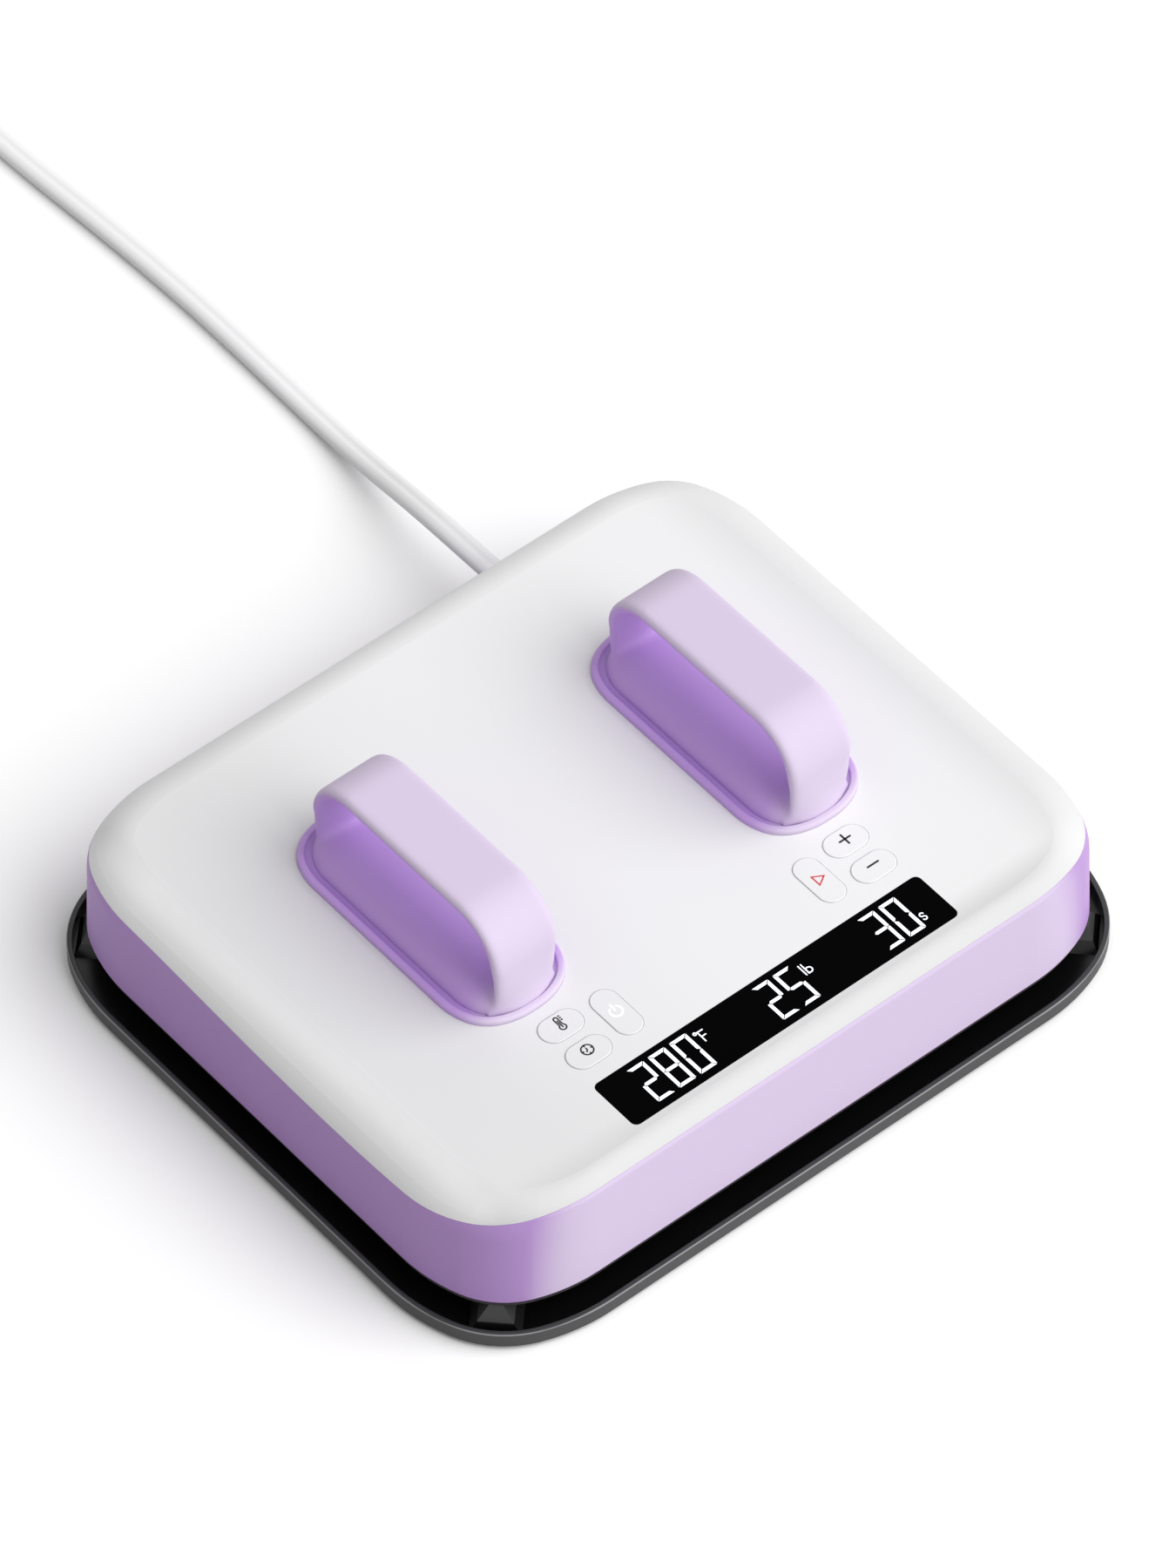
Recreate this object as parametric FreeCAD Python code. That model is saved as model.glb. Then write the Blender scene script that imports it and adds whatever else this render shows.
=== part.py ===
import FreeCAD, Part
import math
import os

# Heat press on its resting tray. Millimetres, +Z up, the floor is z = 0, the front is -Y.
V = FreeCAD.Vector
os.makedirs("parts", exist_ok=True)

# Driving dimensions: the lilac band is the widest part of the press
BAND_X, BAND_Y = 172.5, 145.5
BAND_Z = 19.5
COVER_TOP = BAND_Z + 54.0
WALL = 2.4
CORNER_WIDE, CORNER_TIGHT, CORNER_SPLIT = 78.0, 38.0, 22.0
FIT = 0.15
SLIDE_FIT = 0.35
SEAT_GAP = 0.15
SEAM_GAP = 0.12
CORE_FIT = 0.12

# Edge rounding of the press: a soft wide roll at the sides and back, a tight one in front
SIDE_ROLL_Z, SIDE_ROLL_IN = BAND_Z + 37.0, 20.0
FRONT_ROLL_Z, FRONT_ROLL_IN = BAND_Z + 46.5, 9.0
SIDE_ROLL_POWER, FRONT_ROLL_POWER = 1.8, 1.6
SIDE_DRAFT, FRONT_DRAFT = 1.3, 1.7
COLOUR_LINE = ((158.0, 39.5), (20.0, 39.5), (-84.0, 39.5), (-104.0, 41.2), (-119.0, 43.5), (-133.0, 46.4),
               (-146.0, 49.4), (-160.0, 52.6))

# Resting tray
TRAY_OUT = 8.8
TRAY_BOTTOM, TRAY_FLOOR, TRAY_RIM = 1.8, 4.2, 9.5
TRAY_WALL = 2.5
SUPPORT_FOOT, SUPPORT_FOOT_HALF = (-16.0, 4.9), 11.0
SUPPORT_PAD, SUPPORT_PAD_HALF = (-9.5, -1.4), 2.8
FOOT_X, FOOT_Y, FOOT_R, FOOT_SINK = 148.0, 121.0, 9.0, 0.8
MAT_X, MAT_Y, MAT_T = 146.0, 121.0, 3.0

# Hot side: a 12 in by 10 in plate
PLATE_X, PLATE_Y = 152.5, 127.0
PLATE_Z0, PLATE_Z1 = 8.3, 18.5
PLATE_WIDE, PLATE_TIGHT = 52.0, 24.0
SHELL_Z0 = 16.5
SHELL_IN = 1.0
BLANKET_Z1 = 26.5
SHIELD_T = 1.0
CELL_HX, CELL_HY, CELL_T = 17.0, 7.0, 6.0
CELL_X, CELL_Y, CELL_SHIFT = 112.0, 86.0, 10.0
LEG_IN_X, LEG_IN_Y, LEG_R = 14.5, 57.0, 4.5
CUTOUT_R, CUTOUT_H = 8.0, 5.5
SENSOR_X, SENSOR_HALF, SENSOR_H = 40.0, (5.5, 2.5), 3.5
ELEMENT_R, ELEMENT_Z = 3.2, 13.2
ELEMENT_PITCH, ELEMENT_HALF = 56.0, 96.0

# Handles
HANDLE_X, HANDLE_Y = 78.0, 6.5
LIP_HX, LIP_HY, LIP_T = 28.5, 66.5, 2.7
STRAP_HALF = 16.3
STRAP_TOP = COVER_TOP + 51.5
STRAP_EDGE = 5.0
STRAP_BULGE = 3.0
FRONT_LEG, BACK_LEG = -57.5, 65.5
SHOULDER = 25.0
SCREW_IN, SCREW_R, SCREW_HEAD_R = 7.4, 2.0, 4.0
MOUND_HX, MOUND_HY, MOUND_Y, MOUND_H = 22.8, 62.6, 5.4, 13.0
CORE_HALF, CORE_T = 8.0, 2.8

# Controls, each (name, x, y, half width, half depth)
PILL = (10.2, 6.45)
TALL = (6.2, 13.35)
BUTTONS = (
    ("button_temperature", -75.5, -72.75, PILL),
    ("button_timer", -75.5, -90.2, PILL),
    ("button_power", -53.75, -81.6, TALL),
    ("button_start", 53.75, -81.6, TALL),
    ("button_plus", 75.5, -72.75, PILL),
    ("button_minus", 75.5, -90.2, PILL),
)
BUTTON_TRAVEL = 0.8
BUTTON_RISE = 0.4
BUTTON_FLANGE = 1.2
SWITCH_TOP = BAND_Z + 46.1
PANEL_Z = BAND_Z + 40.0
PANEL = (39.0, 95.0, -100.5, -63.0)
PANEL_POSTS = ((42.0, -66.0), (42.0, -97.0), (91.5, -81.6))
BOARD_T = 1.6
POST_R, CELL_POST_R = 2.4, 4.5

# Boards hung from the cover, each (x0, x1, y0, y1), and what stands on them with its height
MAIN_Z = COVER_TOP - 16.0
MAIN_BOARD = (-40.0, 40.0, -34.0, 50.0)
MAIN_POST_IN = 5.0
POWER_BOARD = (14.0, 102.0, 60.0, 118.0)
POWER_POSTS = ((20.0, 66.0), (92.0, 88.0), (20.0, 112.0))
BUZZER = (18.0, 8.0, 6.0, 8.5)
TRANSFORMER = (-26.0, -6.0, -12.0, 16.0, 15.0)
RELAY = (40.0, 59.0, 76.0, 92.0, 15.5)
TERMINALS = (74.0, 100.0, 96.0, 112.0, 12.0)
DISPLAY = (86.0, 13.6, 0.0, -118.1)
DISPLAY_T = 1.6
DISPLAY_LEDGE = 2.0
MODULE_T = 6.0

# Mains cord: a flat twin cord, 11 mm wide
CORD_D = 11.0
EXIT_X, EXIT_Z = 84.1, 29.5
BOOT_END = 160.0
CLAMP_HALF = 13.0
COIL_X, COIL_Y = 24.0, 565.0
COIL_R, COIL_PITCH = 70.0, 11.7
COIL_LAYER = 11.7
CORD_LEAD = ((EXIT_X, BOOT_END, EXIT_Z), (EXIT_X, 190.0, EXIT_Z), (88.1, 222.0, 22.0), (93.7, 254.0, 11.0),
             (97.0, 288.0, 5.6), (97.65, 310.0, 5.55))
CORD_RUN = ((97.65, 310.0, 5.55), (98.3, 332.0, 5.5), (99.4, 384.0, 5.5), (97.6, 440.0, 5.5),
            (COIL_X + COIL_R, 500.0, 5.5), (COIL_X + COIL_R, COIL_Y - CORD_D, 5.5))
TAIL_X, TAIL_Z = COIL_X + COIL_R - 0.5 * COIL_PITCH, 0.5 * CORD_D + COIL_LAYER
CORD_TAIL = ((TAIL_X, COIL_Y + CORD_D, TAIL_Z), (TAIL_X, 599.0, TAIL_Z), (78.6, 622.4, 15.2), (63.2, 640.0, 10.4),
             (40.4, 650.8, 8.5), (16.0, 654.0, 8.5))
PLUG_LEN, PLUG_W, PLUG_H = 36.0, 26.0, 17.0
BLADE_LEN, BLADE_W, BLADE_T, BLADE_GAP = 17.5, 6.3, 1.5, 12.7


def save(shape, name):
    """Write one sub-part and print what it is."""
    box = shape.BoundBox
    print("%-24s valid=%s solids=%d vol=%.0f z=%.2f..%.2f" % (
        name, shape.isValid(), len(shape.Solids), shape.Volume, box.ZMin, box.ZMax))
    shape.exportStep("parts/%s.step" % name)


def arc_run(edges, place, heading, radius, turn):
    """Add an arc that turns left and return where it ends and its heading."""
    centre = place + V(-math.sin(heading), math.cos(heading), 0) * radius
    def at(angle):
        return centre + V(math.sin(angle), -math.cos(angle), 0) * radius
    end = at(heading + turn)
    edges.append(Part.Arc(place, at(heading + turn / 2.0), end).toShape())
    return end, heading + turn


def outline(x0, x1, y0, y1, radii, z):
    """Closed outline whose corners ease in: wide arc, tight arc, wide arc.

    radii holds (wide, tight) for the front right, back right, back left and front left corners.
    """
    split = math.radians(CORNER_SPLIT)
    mid = math.radians(90.0) - 2.0 * split
    def reach(pair):
        wide, tight = pair
        return wide * (math.sin(split) + 1.0 - math.cos(split)) + tight * (math.cos(split) - math.sin(split))
    corners = (V(x1, y0, z), V(x1, y1, z), V(x0, y1, z), V(x0, y0, z))
    edges = []
    place = V(x0 + reach(radii[3]), y0, z)
    heading = 0.0
    for corner, pair in zip(corners, radii):
        way = V(math.cos(heading), math.sin(heading), 0)
        turn_start = corner - way * reach(pair)
        edges.append(Part.makeLine(place, turn_start))
        place = turn_start
        for radius, turn in ((pair[0], split), (pair[1], mid), (pair[0], split)):
            place, heading = arc_run(edges, place, heading, radius, turn)
    return Part.Wire(edges)


def even_outline(half_x, half_y, wide, tight, z, centre=(0.0, 0.0)):
    """Outline that is the same at all four corners."""
    cx, cy = centre
    return outline(cx - half_x, cx + half_x, cy - half_y, cy + half_y, [(wide, tight)] * 4, z)


def inset_outline(inset, z):
    """Outline of the band moved inwards, or outwards if inset is negative."""
    return even_outline(BAND_X - inset, BAND_Y - inset, CORNER_WIDE - inset, CORNER_TIGHT - inset, z)


def prism(wire, height):
    return Part.Face(wire).extrude(V(0, 0, height))


def box(x0, x1, y0, y1, z0, z1):
    return Part.makeBox(x1 - x0, y1 - y0, z1 - z0, V(x0, y0, z0))


def rod(x, y, z0, z1, radius):
    return Part.makeCylinder(radius, z1 - z0, V(x, y, z0))


def roll(z, start, height, reach, draft, power):
    """Inset of the wall at z: a straight draft, then a quarter ellipse up to the top, flatter as power falls."""
    if z <= start:
        return draft * (z - BAND_Z) / (start - BAND_Z)
    rise = min(1.0, (z - start) / height)
    return draft + reach * (1.0 - (1.0 - rise ** power) ** (1.0 / power))


def press_section(z, off):
    """Level outline of the press at z, off inside its outer skin."""
    top = COVER_TOP - off
    side = off + roll(z, SIDE_ROLL_Z, top - SIDE_ROLL_Z, SIDE_ROLL_IN - off, SIDE_DRAFT, SIDE_ROLL_POWER)
    front = off + roll(z, FRONT_ROLL_Z, top - FRONT_ROLL_Z, FRONT_ROLL_IN - off, FRONT_DRAFT,
                       FRONT_ROLL_POWER)
    back_radii = (CORNER_WIDE - side, CORNER_TIGHT - side)
    mean = 0.5 * (side + front)
    front_radii = (CORNER_WIDE - mean, CORNER_TIGHT - mean)
    return outline(side - BAND_X, BAND_X - side, front - BAND_Y, BAND_Y - side,
                   [front_radii, back_radii, back_radii, front_radii], z)


def press_body(off, bottom):
    """Solid of the press from bottom up to the cover's top, off inside its skin."""
    top = COVER_TOP - off
    straight = [bottom, SIDE_ROLL_Z]
    side_steps, steps = 5, 8
    side_only = [SIDE_ROLL_Z + (FRONT_ROLL_Z - SIDE_ROLL_Z) * i / side_steps for i in range(side_steps + 1)]
    all_round = [FRONT_ROLL_Z + (top - FRONT_ROLL_Z) * math.sin(math.radians(90.0 * i / steps))
                 for i in range(steps + 1)]
    lofts = [Part.makeLoft([press_section(z, off) for z in levels], True, False)
             for levels in (straight, side_only, all_round)]
    return lofts[0].fuse(lofts[1:])


def above_colour_line():
    """Block above the line where the white cover meets the lilac band."""
    points = [V(0, y, BAND_Z + z) for y, z in COLOUR_LINE]
    curve = Part.BSplineCurve()
    curve.interpolate(points)
    first, last = points[0], points[-1]
    high = 60.0 + COVER_TOP
    edges = [
        curve.toShape(),
        Part.makeLine(last, V(0, last.y, high)),
        Part.makeLine(V(0, last.y, high), V(0, first.y, high)),
        Part.makeLine(V(0, first.y, high), first),
    ]
    block = Part.Face(Part.Wire(edges)).extrude(V(2.0 * BAND_X + 40.0, 0, 0))
    block.translate(V(-BAND_X - 20.0, 0, 0))
    return block


def pill(x, y, half, grow, z0, z1):
    """Upright solid with fully rounded ends, grown all round."""
    half_x, half_y = half[0] + grow, half[1] + grow
    radius = min(half_x, half_y)
    body = box(x - half_x, x + half_x, y - half_y, y + half_y, z0, z1)
    edges = [e for e in body.Edges if abs(e.Vertexes[0].Z - e.Vertexes[-1].Z) > 0.5 * (z1 - z0)]
    return body.makeFillet(radius - 0.01, edges)


def screw_rows():
    """Y of the front and back handle screws, up the middle of each leg."""
    return FRONT_LEG + SCREW_IN, BACK_LEG - SCREW_IN


def handle_feet():
    """Where the handle screws stand."""
    return [(side * HANDLE_X, y) for side in (-1, 1) for y in screw_rows()]


def cover_posts():
    """Posts under the cover: (x, y, foot height, radius)."""
    posts = [(x, y, BLANKET_Z1 + SHIELD_T + CELL_T, CELL_POST_R) for x, y in cell_places()]
    for side in (-1, 1):
        posts += [(side * x, y, PANEL_Z + BOARD_T, POST_R) for x, y in PANEL_POSTS]
    x0, x1, y0, y1 = MAIN_BOARD
    inset = MAIN_POST_IN
    corners = [(x, y) for x in (x0 + inset, x1 - inset) for y in (y0 + inset, y1 - inset)]
    posts += [(x, y, MAIN_Z + BOARD_T, POST_R) for x, y in corners + list(POWER_POSTS)]
    return posts


def cell_places():
    """Centres of the four load cells."""
    return [(sx * CELL_X, CELL_SHIFT + sy * CELL_Y) for sx in (-1, 1) for sy in (-1, 1)]


def shell_parts():
    """White cover and lilac band, split along the colour line."""
    shell = press_body(0.0, BAND_Z).cut(press_body(WALL, BAND_Z - 5.0))
    top_block = above_colour_line()
    cover = shell.common(top_block)
    top_block.translate(V(0, 0, -SEAM_GAP))
    band = shell.cut(top_block)
    under = COVER_TOP - WALL
    half_x, half_y, dx, dy = DISPLAY
    recess = box(dx - half_x, dx + half_x, dy - half_y, dy + half_y, COVER_TOP - DISPLAY_T, COVER_TOP + 5.0)
    recess = recess.makeFillet(3.0, upright_edges(recess))
    ledge = DISPLAY_LEDGE
    window_hole = box(dx - half_x + ledge, dx + half_x - ledge, dy - half_y + ledge, dy + half_y - ledge,
                      under - 2.0, COVER_TOP + 5.0)
    cuts = [recess, window_hole]
    for _, x, y, half in BUTTONS:
        cuts.append(pill(x, y, half, SLIDE_FIT, under - 2.0, COVER_TOP + 2.0))
    for x, y in handle_feet():
        cuts.append(rod(x, y, under - 2.0, COVER_TOP + 2.0, SCREW_R + FIT))
    cover = cover.fuse([rod(x, y, foot, under + 1.0, radius) for x, y, foot, radius in cover_posts()])
    cover = cover.cut(cuts)
    bore = Part.makeCylinder(7.4, 20.0, V(EXIT_X, BAND_Y - 12.0, EXIT_Z), V(0, 1, 0))
    band = band.cut(bore)
    return cover.removeSplitter(), band


def upright_edges(solid):
    span = solid.BoundBox.ZLength
    return [e for e in solid.Edges if abs(e.Vertexes[0].Z - e.Vertexes[-1].Z) > 0.9 * span]


def display_window():
    """Black window, flush with the cover."""
    half_x, half_y, dx, dy = DISPLAY
    plate = box(dx - half_x + FIT, dx + half_x - FIT, dy - half_y + FIT, dy + half_y - FIT,
                COVER_TOP - DISPLAY_T, COVER_TOP)
    return plate.makeFillet(3.0 - FIT, upright_edges(plate))


def display_module():
    """Lit display behind the window, on its board under the cover."""
    half_x, half_y, dx, dy = DISPLAY
    inner_x, inner_y = half_x - DISPLAY_LEDGE - 0.4, half_y - DISPLAY_LEDGE - 0.4
    under = COVER_TOP - WALL
    glass = box(dx - inner_x, dx + inner_x, dy - inner_y, dy + inner_y, under - 0.01, COVER_TOP - DISPLAY_T - 0.1)
    board = box(dx - half_x - 1.0, dx + half_x + 1.0, dy - half_y + 1.0, dy + half_y + 3.0, under - MODULE_T, under)
    return board.fuse(glass)


def button(x, y, half):
    """Cap that slides in its hole, a flange that keeps it in, and a stem to the switch."""
    under = COVER_TOP - WALL
    cap = pill(x, y, half, 0.0, under - 0.2, COVER_TOP + BUTTON_RISE)
    rim = [e for e in cap.Edges if e.BoundBox.ZMin > COVER_TOP + BUTTON_RISE - 0.01]
    cap = cap.makeFillet(0.35, rim)
    flange = pill(x, y, half, BUTTON_FLANGE, under - 1.3, under - 0.15)
    stem = rod(x, y, SWITCH_TOP + BUTTON_TRAVEL + 0.05, under - 1.0, 2.6)
    return cap.fuse([flange, stem]).removeSplitter()


def tact_switch(x, y):
    """Small square switch with a round plunger."""
    base = PANEL_Z + BOARD_T
    return box(x - 3.0, x + 3.0, y - 3.0, y + 3.0, base, SWITCH_TOP - 1.0).fuse(
        rod(x, y, SWITCH_TOP - 1.2, SWITCH_TOP, 1.7))


def panel_board(side):
    """Board under one group of buttons."""
    x0, x1 = sorted((side * PANEL[0], side * PANEL[1]))
    return box(x0, x1, PANEL[2], PANEL[3], PANEL_Z, PANEL_Z + BOARD_T)


def rounded_profile(points, radii):
    """Closed YZ outline through points, each corner rounded by its radius."""
    n = len(points)
    edges = []
    cuts = []
    for i in range(n):
        here = V(0, points[i][0], points[i][1])
        back = V(0, points[i - 1][0], points[i - 1][1]) - here
        on = V(0, points[(i + 1) % n][0], points[(i + 1) % n][1]) - here
        half = 0.5 * back.getAngle(on)
        radius = radii[i]
        if radius <= 0.0:
            cuts.append((here, None, here))
            continue
        back.normalize()
        on.normalize()
        run = radius / math.tan(half)
        bisector = back + on
        bisector.normalize()
        middle = here + bisector * (radius / math.sin(half) - radius)
        cuts.append((here + back * run, middle, here + on * run))
    for i in range(n):
        start, middle, end = cuts[i]
        if middle is not None:
            edges.append(Part.Arc(start, middle, end).toShape())
        edges.append(Part.makeLine(end, cuts[(i + 1) % n][0]))
    return Part.Wire(edges)


def opening_section(x):
    """Side view of the finger gap at x: smallest in the middle, where the strap bulges."""
    share = 1.0 - (x / STRAP_HALF) ** 2
    drop = STRAP_EDGE + STRAP_BULGE * share
    front, back, top = FRONT_LEG + 2.4 + drop, BACK_LEG - 3.4 - drop, STRAP_TOP - drop
    low = COVER_TOP + 3.0
    radius = SHOULDER - STRAP_EDGE
    wire = rounded_profile([(front - 1.4, low), (front, top), (back, top), (back + 2.4, low)],
                           [0.0, radius, radius, 0.0])
    wire.translate(V(x, 0, 0))
    return wire


def handle_solid():
    """Strap over a low mound on a lipped foot, centred on x = 0."""
    profile = rounded_profile(
        [(FRONT_LEG, COVER_TOP + 1.0), (FRONT_LEG + 2.9, STRAP_TOP), (BACK_LEG - 4.0, STRAP_TOP),
         (BACK_LEG, COVER_TOP + 1.0)], [0.0, SHOULDER, SHOULDER, 0.0])
    block = Part.Face(profile).extrude(V(2.0 * STRAP_HALF, 0, 0))
    block.translate(V(-STRAP_HALF, 0, 0))
    long_edges = [e for e in block.Edges if e.BoundBox.XLength < 0.01 and e.BoundBox.ZMax > COVER_TOP + 2.0]
    block = block.makeFillet(2.6, long_edges)
    gap = Part.makeLoft([opening_section(x) for x in (-1.04 * STRAP_HALF, -0.5 * STRAP_HALF, 0.0,
                                                     0.5 * STRAP_HALF, 1.04 * STRAP_HALF)], True, False)
    arch = block.cut(gap)
    sections = []
    steps = 8
    for i in range(steps + 1):
        angle = math.radians(84.0 * i / steps)
        inset = 19.0 * (1.0 - math.cos(angle))
        z = COVER_TOP + 1.2 + (MOUND_H - 1.2) * math.sin(angle)
        sections.append(even_outline(MOUND_HX - inset, MOUND_HY - inset, 26.0 - 1.1 * inset,
                                     18.8 - 0.86 * inset, z, (0.0, MOUND_Y)))
    mound = Part.makeLoft(sections, True, False)
    lip = prism(even_outline(LIP_HX, LIP_HY, 34.0, 21.0, COVER_TOP, (0.0, HANDLE_Y)), LIP_T)
    rim = [e for e in lip.Edges if e.BoundBox.ZMin > COVER_TOP + LIP_T - 0.01]
    lip = lip.makeFillet(1.1, rim)
    groove_out = prism(even_outline(LIP_HX - 3.4, LIP_HY - 3.2, 30.6, 17.8, COVER_TOP + 1.3, (0.0, HANDLE_Y)), 4.0)
    lip = lip.cut(groove_out)
    body = arch.fuse([mound, lip]).removeSplitter()
    return body


def handle_core_solid(grow):
    """Bent bar inside the strap with a foot block at each end, grown all round."""
    half = CORE_HALF + grow
    def bar(inset):
        return rounded_profile(
            [(FRONT_LEG + 2.8 + inset, COVER_TOP - 2.0), (FRONT_LEG + 5.6 + inset, STRAP_TOP - 2.4 - inset),
             (BACK_LEG - 6.8 - inset, STRAP_TOP - 2.4 - inset), (BACK_LEG - 2.9 - inset, COVER_TOP - 2.0)],
            [0.0, SHOULDER - 3.0 - inset, SHOULDER - 3.0 - inset, 0.0])
    outer = Part.Face(bar(-grow)).extrude(V(2.0 * half, 0, 0))
    inner = Part.Face(bar(CORE_T + grow)).extrude(V(2.0 * half + 2.0, 0, 0))
    inner.translate(V(-1.0, 0, -2.0))
    core = outer.cut(inner)
    core.translate(V(-half, 0, 0))
    spans = ((FRONT_LEG + 3.2, FRONT_LEG + 12.0), (BACK_LEG - 12.2, BACK_LEG - 3.4))
    core = core.fuse([box(-half, half, y0 - grow, y1 + grow, COVER_TOP - 2.0, COVER_TOP + 6.0 + grow)
                      for y0, y1 in spans])
    return core.cut(box(-40, 40, -100, 100, COVER_TOP - 20.0, COVER_TOP))


def handles():
    """Two grips, their cores and the four screws from under the cover."""
    grip = handle_solid()
    core = handle_core_solid(0.0)
    for foot_y in screw_rows():
        core = core.cut(rod(0, foot_y, COVER_TOP - 1.0, COVER_TOP + 5.0, SCREW_R + 0.05))
    grip = grip.cut(handle_core_solid(CORE_FIT))
    for side, name in ((-1, "left"), (1, "right")):
        for shape, kind in ((grip, "handle_grip_"), (core, "handle_core_")):
            placed = shape.copy()
            placed.translate(V(side * HANDLE_X, 0, 0))
            save(placed, kind + name)
    under = COVER_TOP - WALL
    for number, (x, y) in enumerate(handle_feet(), start=1):
        screw = rod(x, y, under - 3.0, under, SCREW_HEAD_R).fuse(rod(x, y, under - 0.5, COVER_TOP + 5.0, SCREW_R))
        save(screw, "handle_screw_%d" % number)


def corner_cut(wide, tight):
    """How far a corner's middle lies inside its sharp corner, along X and along Y alike."""
    split, half = math.radians(CORNER_SPLIT), math.radians(45.0)
    reach = wide * (math.sin(split) + 1.0 - math.cos(split)) + tight * (math.cos(split) - math.sin(split))
    return reach - wide * math.sin(split) - tight * (math.sin(half) - math.sin(split))


def corner_support():
    """Steep little hill under the press's corner: +X is outwards from the corner's middle."""
    def level(ends, half, z):
        near, far = ends
        return Part.makePolygon([V(near, -half, z), V(far, -half, z), V(far, half, z), V(near, half, z),
                                 V(near, -half, z)])
    foot = level(SUPPORT_FOOT, SUPPORT_FOOT_HALF, TRAY_FLOOR - 0.3)
    pad = level(SUPPORT_PAD, SUPPORT_PAD_HALF, SHELL_Z0 - SEAT_GAP)
    return Part.makeLoft([foot, pad], True, True)


def resting_tray():
    """Tray with a low rim and four sloped corner supports."""
    wall = TRAY_WALL - TRAY_OUT
    tray = prism(inset_outline(-TRAY_OUT, TRAY_BOTTOM), TRAY_RIM - TRAY_BOTTOM)
    low = [e for e in tray.Edges if e.BoundBox.ZMax < TRAY_BOTTOM + 0.01]
    tray = tray.makeFillet(0.9, low)
    tray = tray.cut(prism(inset_outline(wall, TRAY_FLOOR), 20.0))
    top = [e for e in tray.Edges if e.BoundBox.ZMin > TRAY_RIM - 0.01]
    tray = tray.makeFillet(0.45, top)
    cut = corner_cut(CORNER_WIDE, CORNER_TIGHT)
    supports = []
    for sx in (-1, 1):
        for sy in (-1, 1):
            support = corner_support()
            support.rotate(V(0, 0, 0), V(0, 0, 1), math.degrees(math.atan2(sy, sx)))
            support.translate(V(sx * (BAND_X - cut), sy * (BAND_Y - cut), 0))
            supports.append(support)
    tray = tray.fuse(supports)
    feet = [rod(x, y, TRAY_BOTTOM - 1.0, TRAY_BOTTOM + FOOT_SINK, FOOT_R) for x, y in foot_places()]
    return tray.cut(feet)


def foot_places():
    return [(sx * FOOT_X, sy * FOOT_Y) for sx in (-1, 1) for sy in (-1, 1)]


def base_parts():
    save(resting_tray(), "base_tray")
    mat = prism(even_outline(MAT_X, MAT_Y, 46.0, 20.0, TRAY_FLOOR), MAT_T)
    save(mat, "base_mat")
    for number, (x, y) in enumerate(foot_places(), start=1):
        save(rod(x, y, 0.0, TRAY_BOTTOM + FOOT_SINK, FOOT_R), "base_foot_%d" % number)


def bottom_shell():
    """Dark frame that closes the band and holds the hot plate."""
    frame = prism(inset_outline(SHELL_IN, SHELL_Z0), BAND_Z - SHELL_Z0)
    frame = frame.fuse(prism(inset_outline(WALL + 0.2, BAND_Z - 0.5), 5.0))
    hole = prism(even_outline(PLATE_X + 1.0, PLATE_Y + 1.0, PLATE_WIDE, PLATE_TIGHT, SHELL_Z0 - 5.0), 30.0)
    notch = box(EXIT_X - 14.0, EXIT_X + 14.0, BAND_Y - 30.0, BAND_Y - WALL, BAND_Z, BAND_Z + 10.0)
    return frame.cut([hole, notch]).removeSplitter()


def element_path():
    """Serpentine in the plate: four straights joined by three half turns."""
    rows = [(-1.5 + i) * ELEMENT_PITCH for i in range(4)]
    half = 0.5 * ELEMENT_PITCH
    edges = []
    way = 1.0
    for i, y in enumerate(rows):
        edges.append(Part.makeLine(V(-way * ELEMENT_HALF, y, ELEMENT_Z), V(way * ELEMENT_HALF, y, ELEMENT_Z)))
        if i < 3:
            edges.append(Part.Arc(V(way * ELEMENT_HALF, y, ELEMENT_Z), V(way * (ELEMENT_HALF + half), y + half, ELEMENT_Z),
                                  V(way * ELEMENT_HALF, y + 2.0 * half, ELEMENT_Z)).toShape())
        way = -way
    return Part.Wire(edges)


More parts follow.
